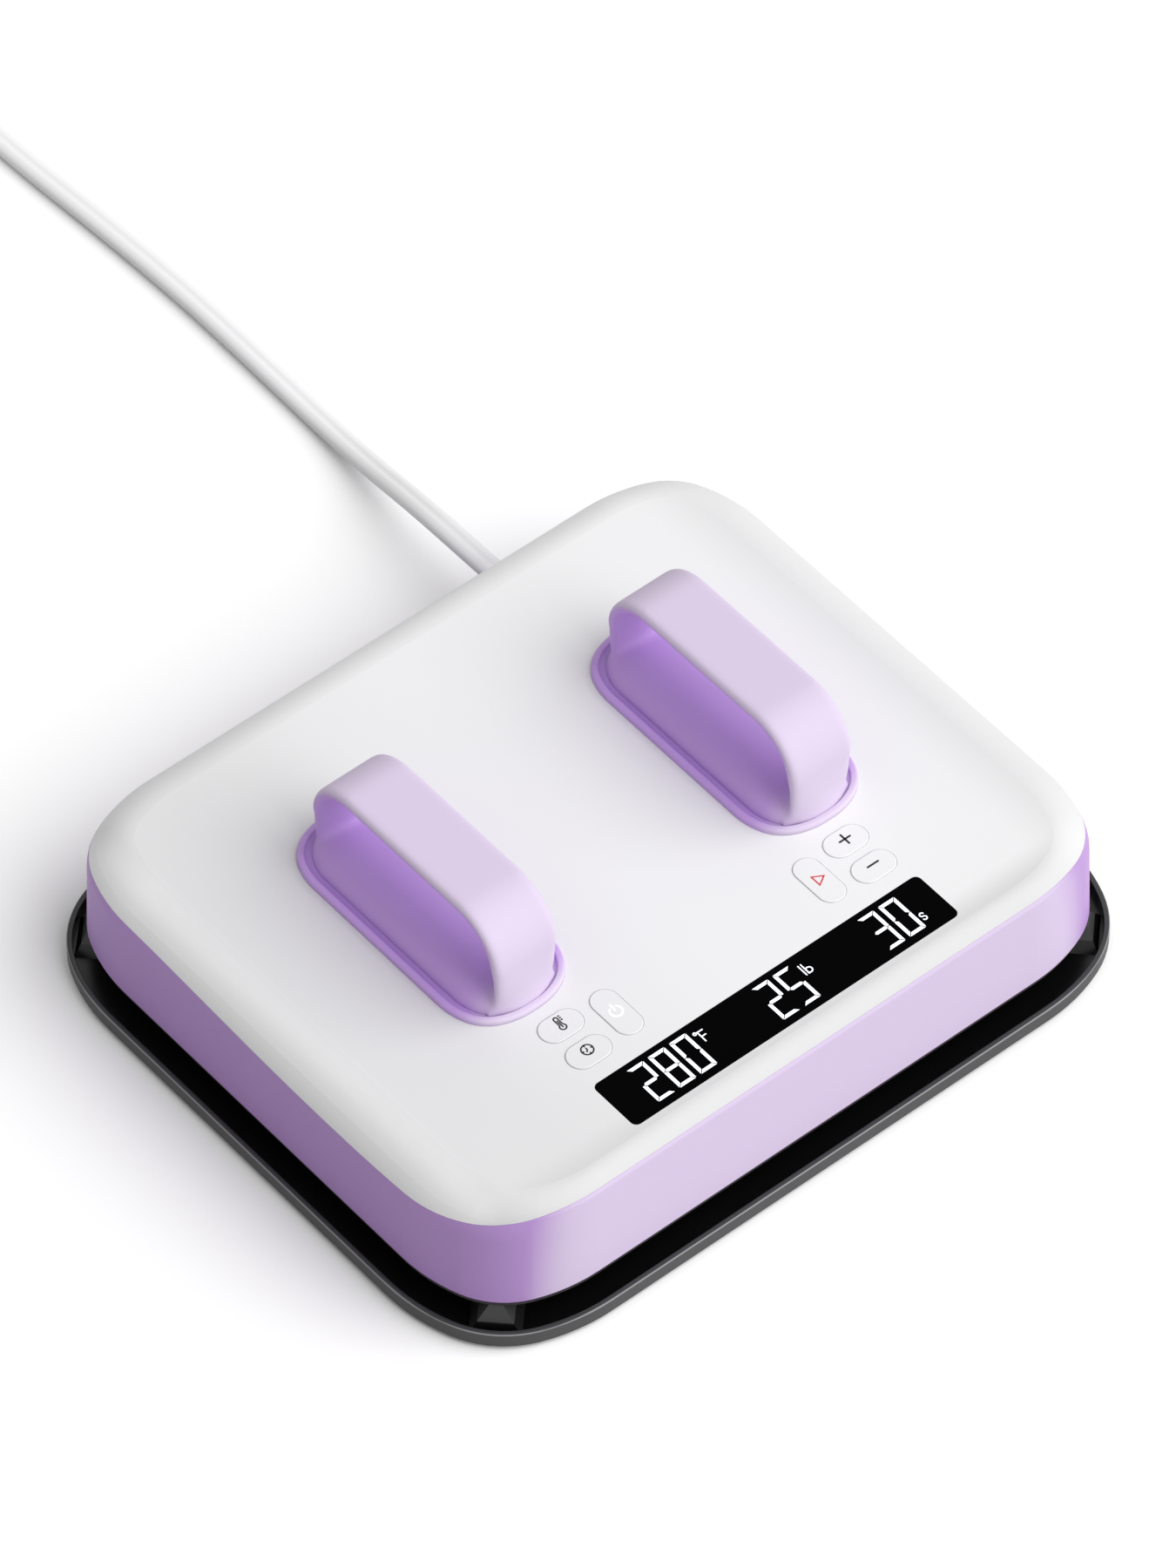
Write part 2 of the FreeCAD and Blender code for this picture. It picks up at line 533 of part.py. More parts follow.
def hot_side():
    """Plate, element, blanket, shield, sensors and load cells."""
    path = element_path()
    ring = Part.Wire(Part.makeCircle(ELEMENT_R, V(-ELEMENT_HALF, -1.5 * ELEMENT_PITCH, ELEMENT_Z), V(1, 0, 0)))
    element = path.makePipeShell([ring], True, False)
    ends = [(-ELEMENT_HALF + 4.0, -1.5 * ELEMENT_PITCH), (-ELEMENT_HALF + 4.0, 1.5 * ELEMENT_PITCH)]
    element = element.fuse([rod(x, y, ELEMENT_Z, PLATE_Z1 + 5.0, 2.2) for x, y in ends])
    plate = prism(even_outline(PLATE_X, PLATE_Y, PLATE_WIDE - 1.0, PLATE_TIGHT - 1.0, PLATE_Z0), PLATE_Z1 - PLATE_Z0)
    low = [e for e in plate.Edges if e.BoundBox.ZMax < PLATE_Z0 + 0.01]
    plate = plate.makeFillet(1.2, low).cut(element)
    legs = [(sx * (PLATE_X - LEG_IN_X), sy * (PLATE_Y - LEG_IN_Y)) for sx in (-1, 1) for sy in (-1, 1)]
    blanket = prism(even_outline(PLATE_X - 5.0, PLATE_Y - 5.0, PLATE_WIDE - 5.0, PLATE_TIGHT - 5.0, PLATE_Z1),
                    BLANKET_Z1 - PLATE_Z1)
    blanket = blanket.cut([rod(x, y, PLATE_Z1 - 1.0, BLANKET_Z1 + 1.0, LEG_R + 0.5) for x, y in legs])
    pits = [(x, y, 4.0) for x, y in ends] + [(0.0, 0.0, CUTOUT_R + 1.5), (SENSOR_X, 0.0, SENSOR_HALF[0] + 1.5)]
    blanket = blanket.cut([rod(x, y, PLATE_Z1 - 1.0, PLATE_Z1 + 6.5, radius) for x, y, radius in pits])
    shield = prism(even_outline(PLATE_X - 3.0, PLATE_Y - 3.0, PLATE_WIDE - 5.0, PLATE_TIGHT - 5.0, BLANKET_Z1), SHIELD_T)
    shield = shield.fuse([rod(x, y, PLATE_Z1, BLANKET_Z1 + 0.5, LEG_R) for x, y in legs])
    save(plate, "heating_plate")
    save(element, "heating_element")
    save(blanket, "insulation_blanket")
    save(shield, "heat_shield")
    save(rod(0, 0, PLATE_Z1, PLATE_Z1 + CUTOUT_H, CUTOUT_R), "thermal_cutout")
    half_x, half_y = SENSOR_HALF
    save(box(SENSOR_X - half_x, SENSOR_X + half_x, -half_y, half_y, PLATE_Z1, PLATE_Z1 + SENSOR_H),
         "temperature_sensor")
    floor = BLANKET_Z1 + SHIELD_T
    for number, (x, y) in enumerate(cell_places(), start=1):
        cell = box(x - CELL_HX, x + CELL_HX, y - CELL_HY, y + CELL_HY, floor, floor + CELL_T)
        save(cell, "load_cell_%d" % number)


def boards():
    """Main board, power board and what stands on them."""
    save(box(*MAIN_BOARD, MAIN_Z, MAIN_Z + BOARD_T), "main_board")
    save(box(*POWER_BOARD, MAIN_Z, MAIN_Z + BOARD_T), "power_board")
    x, y, radius, height = BUZZER
    save(rod(x, y, MAIN_Z - height, MAIN_Z, radius), "buzzer")
    for place, name in ((TRANSFORMER, "transformer"), (RELAY, "relay"), (TERMINALS, "terminal_block")):
        x0, x1, y0, y1, height = place
        save(box(x0, x1, y0, y1, MAIN_Z - height, MAIN_Z), name)


def strain_relief():
    """Boot in the back wall: flange inside, ribbed taper outside, a flat slot for the cord."""
    back = BAND_Y - 0.6
    def disc(radius, y0, y1, radius_end=None):
        if radius_end is None:
            return Part.makeCylinder(radius, y1 - y0, V(EXIT_X, y0, EXIT_Z), V(0, 1, 0))
        return Part.makeCone(radius, radius_end, y1 - y0, V(EXIT_X, y0, EXIT_Z), V(0, 1, 0))
    body = disc(7.25, back - 6.0, back + 1.0)
    body = body.fuse([disc(9.2, back - 5.6, back - 2.6), disc(9.4, back + 0.6, back + 3.0),
                      disc(7.4, back + 2.5, BOOT_END, 6.6), disc(8.0, back + 6.0, back + 7.8),
                      disc(7.6, back + 10.4, back + 12.2)])
    return body.cut(disc(0.5 * CORD_D, back - 10.0, back + 4.0))


def cord_clamp():
    """Saddle that grips the cord inside the shell, on the frame behind the wall."""
    block = box(EXIT_X - CLAMP_HALF, EXIT_X + CLAMP_HALF, BAND_Y - 16.0, BAND_Y - 10.0, BAND_Z, EXIT_Z + 8.0)
    return block.cut(Part.makeCylinder(0.5 * CORD_D, 40.0, V(EXIT_X, BAND_Y - 36.0, EXIT_Z), V(0, 1, 0)))


def route_wire(points):
    """Straight runs joined by tangent arcs, each as large as its two runs allow."""
    places = [V(*p) for p in points]
    edges = []
    start = places[0]
    least = None
    for i in range(1, len(places) - 1):
        here = places[i]
        back = places[i - 1] - here
        on = places[i + 1] - here
        run = 0.45 * min(back.Length, on.Length)
        half_turn = 0.5 * (math.pi - back.getAngle(on))
        radius = run / math.tan(half_turn)
        least = radius if least is None else min(least, radius)
        back.normalize()
        on.normalize()
        bisector = back + on
        bisector.normalize()
        begin, end = here + back * run, here + on * run
        middle = here + bisector * (radius / math.cos(half_turn) - radius)
        edges.append(Part.makeLine(start, begin))
        edges.append(Part.Arc(begin, middle, end).toShape())
        start = end
    edges.append(Part.makeLine(start, places[-1]))
    return Part.Wire(edges), least


def tube(wire, start, way, name, least):
    """Round tube along a wire, with its volume held against section times length."""
    ring = Part.Wire(Part.makeCircle(0.5 * CORD_D, start, way))
    solid = wire.makePipeShell([ring], True, False)
    expect = math.pi * 0.25 * CORD_D ** 2 * wire.Length
    print("%s length %.0f mm, least radius %.0f mm, volume ratio %.4f" % (
        name, wire.Length, least, solid.Volume / expect))
    save(solid, name)


def coil_points():
    """Centre line of the coil, a point every half turn: radius and height by turn.

    One and a half turns spiral in on the floor, half a turn climbs while the spiral reverses,
    and one turn spirals out on top.
    """
    def at(turn):
        low = 0.5 * CORD_D
        if turn <= 1.5:
            radius, z = COIL_R - COIL_PITCH * turn, low
        elif turn <= 2.0:
            part = turn - 1.5
            radius = COIL_R - COIL_PITCH * (1.5 + part - 2.0 * part * part)
            climb = 2.0 * part
            z = low + COIL_LAYER * climb * climb * (3.0 - 2.0 * climb)
        else:
            radius, z = COIL_R - COIL_PITCH * (1.5 - (turn - 2.0)), low + COIL_LAYER
        angle = 2.0 * math.pi * turn
        return V(COIL_X + radius * math.cos(angle), COIL_Y + radius * math.sin(angle), z)
    return at


def coil():
    """One unbroken tube of three turns, quarter turn arcs that share their tangents."""
    at = coil_points()
    def way(turn):
        step = 0.002
        ahead = at(min(turn + step, 3.0)) - at(max(turn - step, 0.0))
        if turn in (0.0, 3.0):
            ahead = V(0, 1, 0)
        ahead.normalize()
        return ahead
    edges = [Part.makeLine(at(0.0) - V(0, CORD_D, 0), at(0.0))]
    turns = [0.25 * i for i in range(13)]
    for a, b in zip(turns, turns[1:]):
        edges.extend(biarc(at(a), way(a), at(b), way(b)))
    edges.append(Part.makeLine(at(3.0), at(3.0) + V(0, CORD_D, 0)))
    wire = Part.Wire(edges)
    samples = wire.discretize(Number=900)
    spacing = wire.Length / 899.0
    skip = int(2.6 * CORD_D / spacing)
    least = min(samples[i].distanceToPoint(samples[j])
                for i in range(0, 900, 2) for j in range(i + skip, 900))
    print("cord_coil least gap to itself %.2f mm" % (least - CORD_D))
    tube(wire, at(0.0) - V(0, CORD_D, 0), V(0, 1, 0), "cord_coil", COIL_R - 1.7 * COIL_PITCH)


def biarc(p, tp, q, tq):
    """Two tangent arcs from p to q with the given end directions."""
    chord = q - p
    both = tp + tq
    a = 2.0 * (1.0 - tp.dot(tq))
    b = 2.0 * chord.dot(both)
    c = -chord.dot(chord)
    reach = (-b + math.sqrt(b * b - 4.0 * a * c)) / (2.0 * a)
    p1 = p + tp * reach
    q1 = q - tq * reach
    join = (p1 + q1) * 0.5
    tj = q1 - p1
    tj.normalize()
    edges = []
    for start, way, end in ((p, tp, join), (join, tj, q)):
        chord_part = end - start
        normal = way.cross(chord_part).cross(way)
        normal.normalize()
        radius = chord_part.dot(chord_part) / (2.0 * chord_part.dot(normal))
        centre = start + normal * radius
        middle = centre + ((start + end) * 0.5 - centre).normalize() * radius
        edges.append(Part.Arc(start, middle, end).toShape())
    return edges


def plug():
    """Moulded plug lying flat beside the coil, with two blades."""
    last, before = V(*CORD_TAIL[-1]), V(*CORD_TAIL[-2])
    way = last - before
    angle = math.degrees(math.atan2(way.y, way.x))
    half_w, half_h = 0.5 * PLUG_W, 0.5 * PLUG_H
    body = box(9.0, 9.0 + PLUG_LEN, -half_w, half_w, -half_h, half_h)
    body = body.makeFillet(5.0, [e for e in body.Edges if e.BoundBox.XLength > 0.9 * PLUG_LEN])
    body = body.fuse([Part.makeCone(6.2, 8.2, 10.0, V(0, 0, 0), V(1, 0, 0))])
    blades = []
    for side in (-1, 1):
        y = side * 0.5 * BLADE_GAP
        blade = box(9.0 + PLUG_LEN - 8.0, 9.0 + PLUG_LEN + BLADE_LEN, y - 0.5 * BLADE_T, y + 0.5 * BLADE_T,
                    -0.5 * BLADE_W, 0.5 * BLADE_W)
        blades.append(blade)
        body = body.cut(blade)
    for shape, name in ((body, "plug_body"), (blades[0], "plug_blade_1"), (blades[1], "plug_blade_2")):
        shape.rotate(V(0, 0, 0), V(0, 0, 1), angle)
        shape.translate(V(last.x, last.y, last.z))
        save(shape, name)


def cord_parts():
    save(strain_relief(), "strain_relief")
    save(cord_clamp(), "cord_clamp")
    inner = Part.makeCylinder(0.5 * CORD_D, 22.4, V(EXIT_X, BAND_Y - 19.0, EXIT_Z), V(0, 1, 0))
    save(inner, "cord_inner")
    for points, name in ((CORD_LEAD, "cord_lead"), (CORD_RUN, "cord_run"), (CORD_TAIL, "cord_tail")):
        wire, least = route_wire(points)
        first, second = V(*points[0]), V(*points[1])
        tube(wire, first, second - first, name, least)
    coil()
    plug()


def controls():
    save(display_window(), "display_window")
    save(display_module(), "display_module")
    save(panel_board(-1), "panel_board_left")
    save(panel_board(1), "panel_board_right")
    for name, x, y, half in BUTTONS:
        save(button(x, y, half), name)
        save(tact_switch(x, y), name.replace("button", "switch"))


cover, band = shell_parts()
save(cover, "top_cover")
save(band, "side_band")
save(bottom_shell(), "bottom_shell")
base_parts()
hot_side()
boards()
controls()
handles()
cord_parts()
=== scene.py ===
"""Dresses the two-handled heat press: finishes for its solids, and the pieces that are only skin deep."""
import math

import bmesh
import bpy
import numpy as np
from mathutils import Matrix, Vector


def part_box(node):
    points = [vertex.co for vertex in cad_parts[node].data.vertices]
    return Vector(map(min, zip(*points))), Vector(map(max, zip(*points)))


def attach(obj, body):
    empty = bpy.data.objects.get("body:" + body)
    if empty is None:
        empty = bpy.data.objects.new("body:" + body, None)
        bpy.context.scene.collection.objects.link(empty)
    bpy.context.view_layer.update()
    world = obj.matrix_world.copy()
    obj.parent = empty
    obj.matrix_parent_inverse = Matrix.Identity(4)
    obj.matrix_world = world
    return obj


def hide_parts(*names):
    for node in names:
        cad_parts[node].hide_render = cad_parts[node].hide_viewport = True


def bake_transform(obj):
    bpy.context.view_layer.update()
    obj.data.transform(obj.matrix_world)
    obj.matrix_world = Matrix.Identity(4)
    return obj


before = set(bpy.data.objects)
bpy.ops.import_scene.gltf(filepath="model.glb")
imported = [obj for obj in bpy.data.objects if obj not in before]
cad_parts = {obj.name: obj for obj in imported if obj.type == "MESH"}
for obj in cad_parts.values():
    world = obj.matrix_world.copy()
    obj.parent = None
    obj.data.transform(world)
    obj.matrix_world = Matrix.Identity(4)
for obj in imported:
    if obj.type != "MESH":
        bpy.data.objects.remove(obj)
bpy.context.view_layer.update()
MM = 0.001

# The camera, from the lines of the case that run along X, Y and Z in the picture.
CAMERA_PLACE = (-1.85042, -2.20765, 3.47563)
CAMERA_TURN = math.radians(-39.9655)
CAMERA_RISE = math.radians(49.5171)
CAMERA_LENS = 251.351
CAMERA_FILM = 36.0

# The flat twin cord, from its exit at the back to its plug, in metres. The groove's depth and width are
# shares of the cord's, and the powers square off its sides and its top.
CORD_WIDE = 11.0 * MM
CORD_THICK = 6.6 * MM
CORD_GROOVE = 0.16
CORD_GROOVE_WIDE = 0.09
CORD_SIDE_POWER, CORD_TOP_POWER = 0.82, 0.72
CORD_EXIT = (0.0841, 0.160, 0.0295)
CORD_LEAD = (
    CORD_EXIT,
    (0.0841, 0.190, 0.0295),
    (0.0881, 0.222, 0.0215),
    (0.0937, 0.254, 0.0095),
    (0.0970, 0.288, 0.0036),
    (0.0983, 0.332, 0.0034),
    (0.0994, 0.384, 0.0034),
    (0.0976, 0.440, 0.0034),
    (0.0940, 0.500, 0.0034),
    (0.0940, 0.554, 0.0034),
)
CORD_TAIL = (
    (0.08815, 0.576, 0.0104),
    (0.08815, 0.599, 0.0104),
    (0.0786, 0.6224, 0.0102),
    (0.0632, 0.6400, 0.0088),
    (0.0404, 0.6508, 0.0085),
    (0.0160, 0.6540, 0.0085),
)
# The coil: its turns, the control points to a turn, and the turns between which it climbs a layer.
COIL_CENTRE = (0.024, 0.565)
COIL_RADIUS = 0.070
COIL_PITCH = 0.0117
COIL_LOW = 0.0034
COIL_HIGH = 0.0104
COIL_TURNS, COIL_STEPS = 3, 16
CLIMB_START, CLIMB_END = 1.5, 2.0


def turned(azimuth, elevation):
    """The camera's three axes as columns: right, up and back, for a camera that looks at the part."""
    back = np.array(
        [
            math.sin(azimuth) * math.cos(elevation),
            -math.cos(azimuth) * math.cos(elevation),
            math.sin(elevation),
        ]
    )
    right = np.array([math.cos(azimuth), math.sin(azimuth), 0.0])
    return right, np.cross(back, right), back


def add_camera():
    """A long lens far off, as product pictures are taken, with its axis through the frame's middle."""
    data = bpy.data.cameras.new("camera")
    data.sensor_width = CAMERA_FILM
    data.lens = CAMERA_LENS
    data.clip_start = 0.1
    data.clip_end = 50.0
    camera = bpy.data.objects.new("camera", data)
    bpy.context.collection.objects.link(camera)
    right, up, back = turned(CAMERA_TURN, CAMERA_RISE)
    rows = [[right[k], up[k], back[k], CAMERA_PLACE[k]] for k in range(3)]
    camera.matrix_world = Matrix(rows + [[0, 0, 0, 1]])
    bpy.context.scene.camera = camera


def smooth(x):
    """0 below 0, 1 above 1, and the cubic 3 x^2 - 2 x^3 between them."""
    x = np.clip(x, 0.0, 1.0)
    return x * x * (3 - 2 * x)


def mesh_piece(name, points, faces, material, rounded=True):
    """A mesh object at the origin, from points in metres and faces as lists of point numbers."""
    mesh = bpy.data.meshes.new(name)
    mesh.from_pydata(np.asarray(points, float).tolist(), [], [list(f) for f in faces])
    mesh.polygons.foreach_set("use_smooth", [rounded] * len(mesh.polygons))
    mesh.materials.append(material)
    mesh.update()
    piece = bpy.data.objects.new(name, mesh)
    bpy.context.collection.objects.link(piece)
    return piece


def grid_faces(rows, columns, loop=False):
    """Quads of a grid of rows by columns. Each row closes on itself, and the last joins the first in a
    loop."""
    first = np.arange(rows if loop else rows - 1)[:, None]
    across = np.arange(columns)[None, :]
    here = first * columns + across
    beside = first * columns + (across + 1) % columns
    above = ((first + 1) % rows) * columns + across
    above_beside = ((first + 1) % rows) * columns + (across + 1) % columns
    return np.stack([here, beside, above_beside, above], -1).reshape(-1, 4).tolist()


def swept(path, section):
    """A section carried along a path. Each ring is path + side x across + rise x up, where side is
    level and square to the path and rise is square to both. The two ends are closed by fans to their
    middles."""
    path = np.asarray(path, float)
    along = np.gradient(path, axis=0)
    along /= np.linalg.norm(along, axis=1, keepdims=True)
    side = np.cross(along, (0.0, 0.0, 1.0))
    side /= np.linalg.norm(side, axis=1, keepdims=True)
    rise = np.cross(side, along)
    across, up = section[:, 0], section[:, 1]
    rings = path[:, None] + side[:, None] * across[None, :, None] + rise[:, None] * up[None, :, None]
    rows, columns = len(path), len(section)
    points = np.concatenate([rings.reshape(-1, 3), path[:1], path[-1:]])
    faces = grid_faces(rows, columns)
    start, end = rows * columns, rows * columns + 1
    last = (rows - 1) * columns
    for k in range(columns):
        faces.append([start, (k + 1) % columns, k])
        faces.append([end, last + k, last + (k + 1) % columns])
    return points, faces


def coil_route():
    """Control points of the coil: its radius falls, it climbs a layer, and its radius grows again. The
    points stand a little outside the wanted radius, because the spline runs inside its corners."""
    turn = np.arange(0, COIL_TURNS * COIL_STEPS + 1) / COIL_STEPS
    climb = np.clip(turn - CLIMB_START, 0.0, CLIMB_END - CLIMB_START)
    laid = np.select(
        [turn <= CLIMB_START, turn <= CLIMB_END],
        [turn, CLIMB_START + climb - 2 * climb**2],
        CLIMB_START - (turn - CLIMB_END),
    )
    outside = 8 / (6 + 2 * math.cos(2 * math.pi / COIL_STEPS))
    radius = (COIL_RADIUS - COIL_PITCH * laid) * outside
    height = COIL_LOW + (COIL_HIGH - COIL_LOW) * smooth(2 * climb)
    angle = 2 * math.pi * turn
    return np.stack(
        [COIL_CENTRE[0] + radius * np.cos(angle), COIL_CENTRE[1] + radius * np.sin(angle), height], 1
    )


def spline_points(route):
    """Points along the smooth line that a NURBS spline of order 3 draws with the route as its control
    points."""
    curve = bpy.data.curves.new("cord_route", "CURVE")
    curve.dimensions = "3D"
    curve.resolution_u = 8
    spline = curve.splines.new("NURBS")
    spline.points.add(len(route) - 1)
    for point, place in zip(spline.points, route):
        point.co = (*place, 1.0)
    spline.order_u = 3
    spline.use_endpoint_u = True
    holder = bpy.data.objects.new("cord_route", curve)
    bpy.context.collection.objects.link(holder)
    bpy.context.view_layer.update()
    line = bpy.data.meshes.new_from_object(holder)
    points = np.empty(len(line.vertices) * 3)
    line.vertices.foreach_get("co", points)
    bpy.data.objects.remove(holder)
    bpy.data.curves.remove(curve)
    bpy.data.meshes.remove(line)
    return points.reshape(-1, 3)


def twin_section(count=40):
    """A flattened round of two cores: an ellipse-like outline whose top and bottom dip along the
    middle."""
    angle = np.linspace(0, 2 * math.pi, count, endpoint=False)
    across = CORD_WIDE / 2 * np.sign(np.cos(angle)) * np.abs(np.cos(angle)) ** CORD_SIDE_POWER
    up = CORD_THICK / 2 * np.sign(np.sin(angle)) * np.abs(np.sin(angle)) ** CORD_TOP_POWER
    dip = 1 - CORD_GROOVE * np.exp(-((across / (CORD_GROOVE_WIDE * CORD_WIDE)) ** 2))
    return np.stack([across, up * dip], 1)


# The depth of moulded grain, in metres.
FINE_DEPTH = 0.00002


class Link:
    """One output of a node. Arithmetic on it adds Math nodes to the same tree."""

    def __init__(self, finish, socket):
        self.finish = finish
        self.socket = socket

    def maths(self, operation, *values):
        inputs = {k: v for k, v in enumerate(values)}
        return self.finish.node("ShaderNodeMath", {"operation": operation}, inputs)

    def __add__(self, other):
        return self.maths("ADD", self, other)

    def __radd__(self, other):
        return self.maths("ADD", other, self)

    def __sub__(self, other):
        return self.maths("SUBTRACT", self, other)

    def __mul__(self, other):
        return self.maths("MULTIPLY", self, other)

    def __rmul__(self, other):
        return self.maths("MULTIPLY", other, self)

    def __pow__(self, other):
        return self.maths("POWER", self, other)

    def at_most(self, limit):
        return self.maths("MINIMUM", limit, self)

    def at_least(self, limit):
        return self.maths("MAXIMUM", limit, self)

    def beyond(self, start):
        """How far its size is above start, in millimetres, and 0 where it is less."""
        return self.maths("MAXIMUM", 0.0, (self.maths("ABSOLUTE", self) - start) * 1000.0)


class Finish:
    """A material or world as an expression: node() adds a node, and what it gives back takes
    arithmetic."""

    def __init__(self, owner):
        self.owner = owner
        owner.use_nodes = True
        self.tree = owner.node_tree
        self.tree.nodes.clear()

    def node(self, kind, settings=None, inputs=None, output=0):
        made = self.tree.nodes.new(kind)
        for key, value in (settings or {}).items():
            setattr(made, key, value)
        for key, value in (inputs or {}).items():
            if isinstance(value, Link):
                self.tree.links.new(value.socket, made.inputs[key])
            else:
                made.inputs[key].default_value = value
        return Link(self, made.outputs[output])

    def place(self):
        """The Object coordinates."""
        return self.node("ShaderNodeTexCoord", output=3)

    def noise(self, scale, detail=2.0, roughness=0.5):
        inputs = {"Vector": self.place(), "Scale": scale, "Detail": detail, "Roughness": roughness}
        return self.node("ShaderNodeTexNoise", {}, inputs)

    def smear(self):
        """The slow, patchy drift of gloss that moulds and hands leave."""
        return self.noise(55.0, 4.0, 0.6)

    def mix(self, factor, first, second):
        """A colour between two colours."""
        return self.node(
            "ShaderNodeMix", {"data_type": "RGBA"}, {0: factor, 6: colour4(first), 7: colour4(second)}, 2
        )

    def step(self, value, low, high, between="LINEAR"):
        """0 on the low side and 1 on the high side. Low is above high where it falls."""
        settings = {"clamp": True, "interpolation_type": between}
        return self.node("ShaderNodeMapRange", settings, {0: value, 1: low, 2: high, 3: 0.0, 4: 1.0})

    def ease(self, value, low, high):
        """A step with a cubic between low and high."""
        return self.step(value, low, high, "SMOOTHSTEP")

    def axis(self, number):
        """X, Y or Z of the place, in metres."""
        return self.node("ShaderNodeSeparateXYZ", {}, {0: self.place()}, number)

    def bump(self, value, strength=0.25, distance=FINE_DEPTH):
        return self.node(
            "ShaderNodeBump", {}, {"Height": value, "Strength": strength, "Distance": distance}
        )

    def surface(self, shader, kind="ShaderNodeOutputMaterial"):
        """Sends a shader to the output, and gives back the material or world."""
        output = self.tree.nodes.new(kind)
        self.tree.links.new(shader.socket, output.inputs["Surface"])
        return self.owner

    def principled(self, inputs):
        return self.surface(self.node("ShaderNodeBsdfPrincipled", {}, inputs))


# The resting tray: half sizes to the middle of its wall, reach and power of its corner, and its rim in
# millimetres.
TRAY_HALF = (0.18005, 0.15305)
TRAY_CORNER = 0.072
TRAY_POWER = 2.7
TRAY_RIM = 9.5

# Where painted light and shade change, in metres. On the cover, X from its left part to its middle and on
# to its rolls, and Y to its front roll. On the band, Y where its front face starts, which takes the pale,
# lit colour while the rest takes painted shade.
COVER_MIDDLE = (-0.130, 0.010)
LEFT_ROLL, RIGHT_ROLL = (-0.148, -0.162), (0.125, 0.160)
FRONT_ROLL = (-0.120, -0.137)
BAND_FRONT_PAINTED_LIGHT = (-0.1370, -0.1442)
# On the grips, where painted light gives way to painted shade: the middle of the strap's length, where
# its shoulders start along Y and Z, the reach from there to the middle of its thickness (mm), the height
# where the foot ends, and Y where the front end starts.
STRAP_MIDDLE = 0.004
SHOULDER_Y, SHOULDER_Z = 0.0351, 0.1000
SHOULDER_REACH = (21.7, 23.3)
FOOT_END = (0.0765, 0.0830)
FRONT_END = (-0.0400, -0.0575)


def colour4(value):
    """A colour or a link as a colour socket takes it."""
    return value if isinstance(value, Link) else (*value, 1.0)


def linear(red, green, blue):
    """A colour as a shader wants it, from the 0 to 255 figures of a picture."""
    shares = np.array([red, green, blue]) / 255.0
    low, high = shares / 12.92, ((shares + 0.055) / 1.055) ** 2.4
    return tuple(float(v) for v in np.where(shares <= 0.04045, low, high))


def scaled(colour, factor):
    return tuple(min(1.0, c * factor) for c in colour)


def new_finish(name):
    return Finish(bpy.data.materials.new(name))


def moulded(name, colour, roughness, grain=0.0006, depth=FINE_DEPTH, specular=0.5, metal=0.0):
    """Moulded plastic, rubber or metal: a slow drift of tone, a finer drift of gloss and a fine grain."""
    finish = new_finish(name)
    drift = finish.noise(14.0, 3.0)
    inputs = {
        "Base Color": finish.mix(drift, scaled(colour, 0.97), scaled(colour, 1.03)),
        "Roughness": (roughness - 0.05) + 0.1 * finish.smear(),
        "Metallic": metal,
        "Specular IOR Level": specular,
        "Normal": finish.bump(finish.noise(1.0 / grain), distance=depth),
    }
    return finish.principled(inputs)


def grip_painted_light_share(finish):
    """The share of painted light on a grip: 1 on the strap's outside and at the front end, which take the
    pale, lit colour, and 0 inside and on the rest of the foot, which take the deeper colour as painted
    shade. A place is outside where sqrt(u^2 + v^2) is past the shoulder's reach. There u and v are its Y
    and Z beyond the shoulder's start."""
    u = (finish.axis(1) - STRAP_MIDDLE).beyond(SHOULDER_Y)
    v = finish.axis(2).beyond(SHOULDER_Z)
    outside = finish.step((u**2.0 + v**2.0) ** 0.5, *SHOULDER_REACH)
    above_foot = finish.step(finish.axis(2), *FOOT_END)
    at_front = finish.ease(finish.axis(1), *FRONT_END)
    return (outside * above_foot).at_least(at_front)


def lilac_finish(name, pale, strong, roughness, specular, painted_light_where):
    """Lilac plastic or silicone with painted light and shade: it takes the pale, lit colour where the
    share that the last argument makes from the finish says so, and the strong colour, a painted shade,
    elsewhere.
    """
    finish = new_finish(name)
    inputs = {
        "Base Color": finish.mix(painted_light_where(finish), strong, pale),
        "Roughness": (roughness - 0.05) + 0.1 * finish.smear() + 0.02 * finish.noise(14.0, 3.0),
        "Specular IOR Level": specular,
        "Normal": finish.bump(finish.noise(1800.0)),
    }
    return finish.principled(inputs)


def cover_finish():
    """White plastic with painted light and shade: painted darker on its left part and at its right roll,
    paler from its middle on, painted lighter at the left roll and painted darker at the front roll.
    """
    finish = new_finish("cover_white")
    tone = finish.mix(finish.ease(finish.axis(0), *COVER_MIDDLE), COVER_SIDE_PAINTED_SHADE, COVER)
    tone = finish.mix(finish.ease(finish.axis(0), *LEFT_ROLL), tone, COVER_LEFT_ROLL_PAINTED_LIGHT)
    tone = finish.mix(finish.ease(finish.axis(1), *FRONT_ROLL), tone, COVER_FRONT_ROLL_PAINTED_SHADE)
    tone = finish.mix(finish.ease(finish.axis(0), *RIGHT_ROLL), tone, COVER_SIDE_PAINTED_SHADE)
    inputs = {
        "Base Color": tone,
        "Roughness": 0.4 + 0.1 * finish.smear(),
        "Specular IOR Level": 0.25,
        "Normal": finish.bump(finish.noise(1400.0)),
    }
    return finish.principled(inputs)


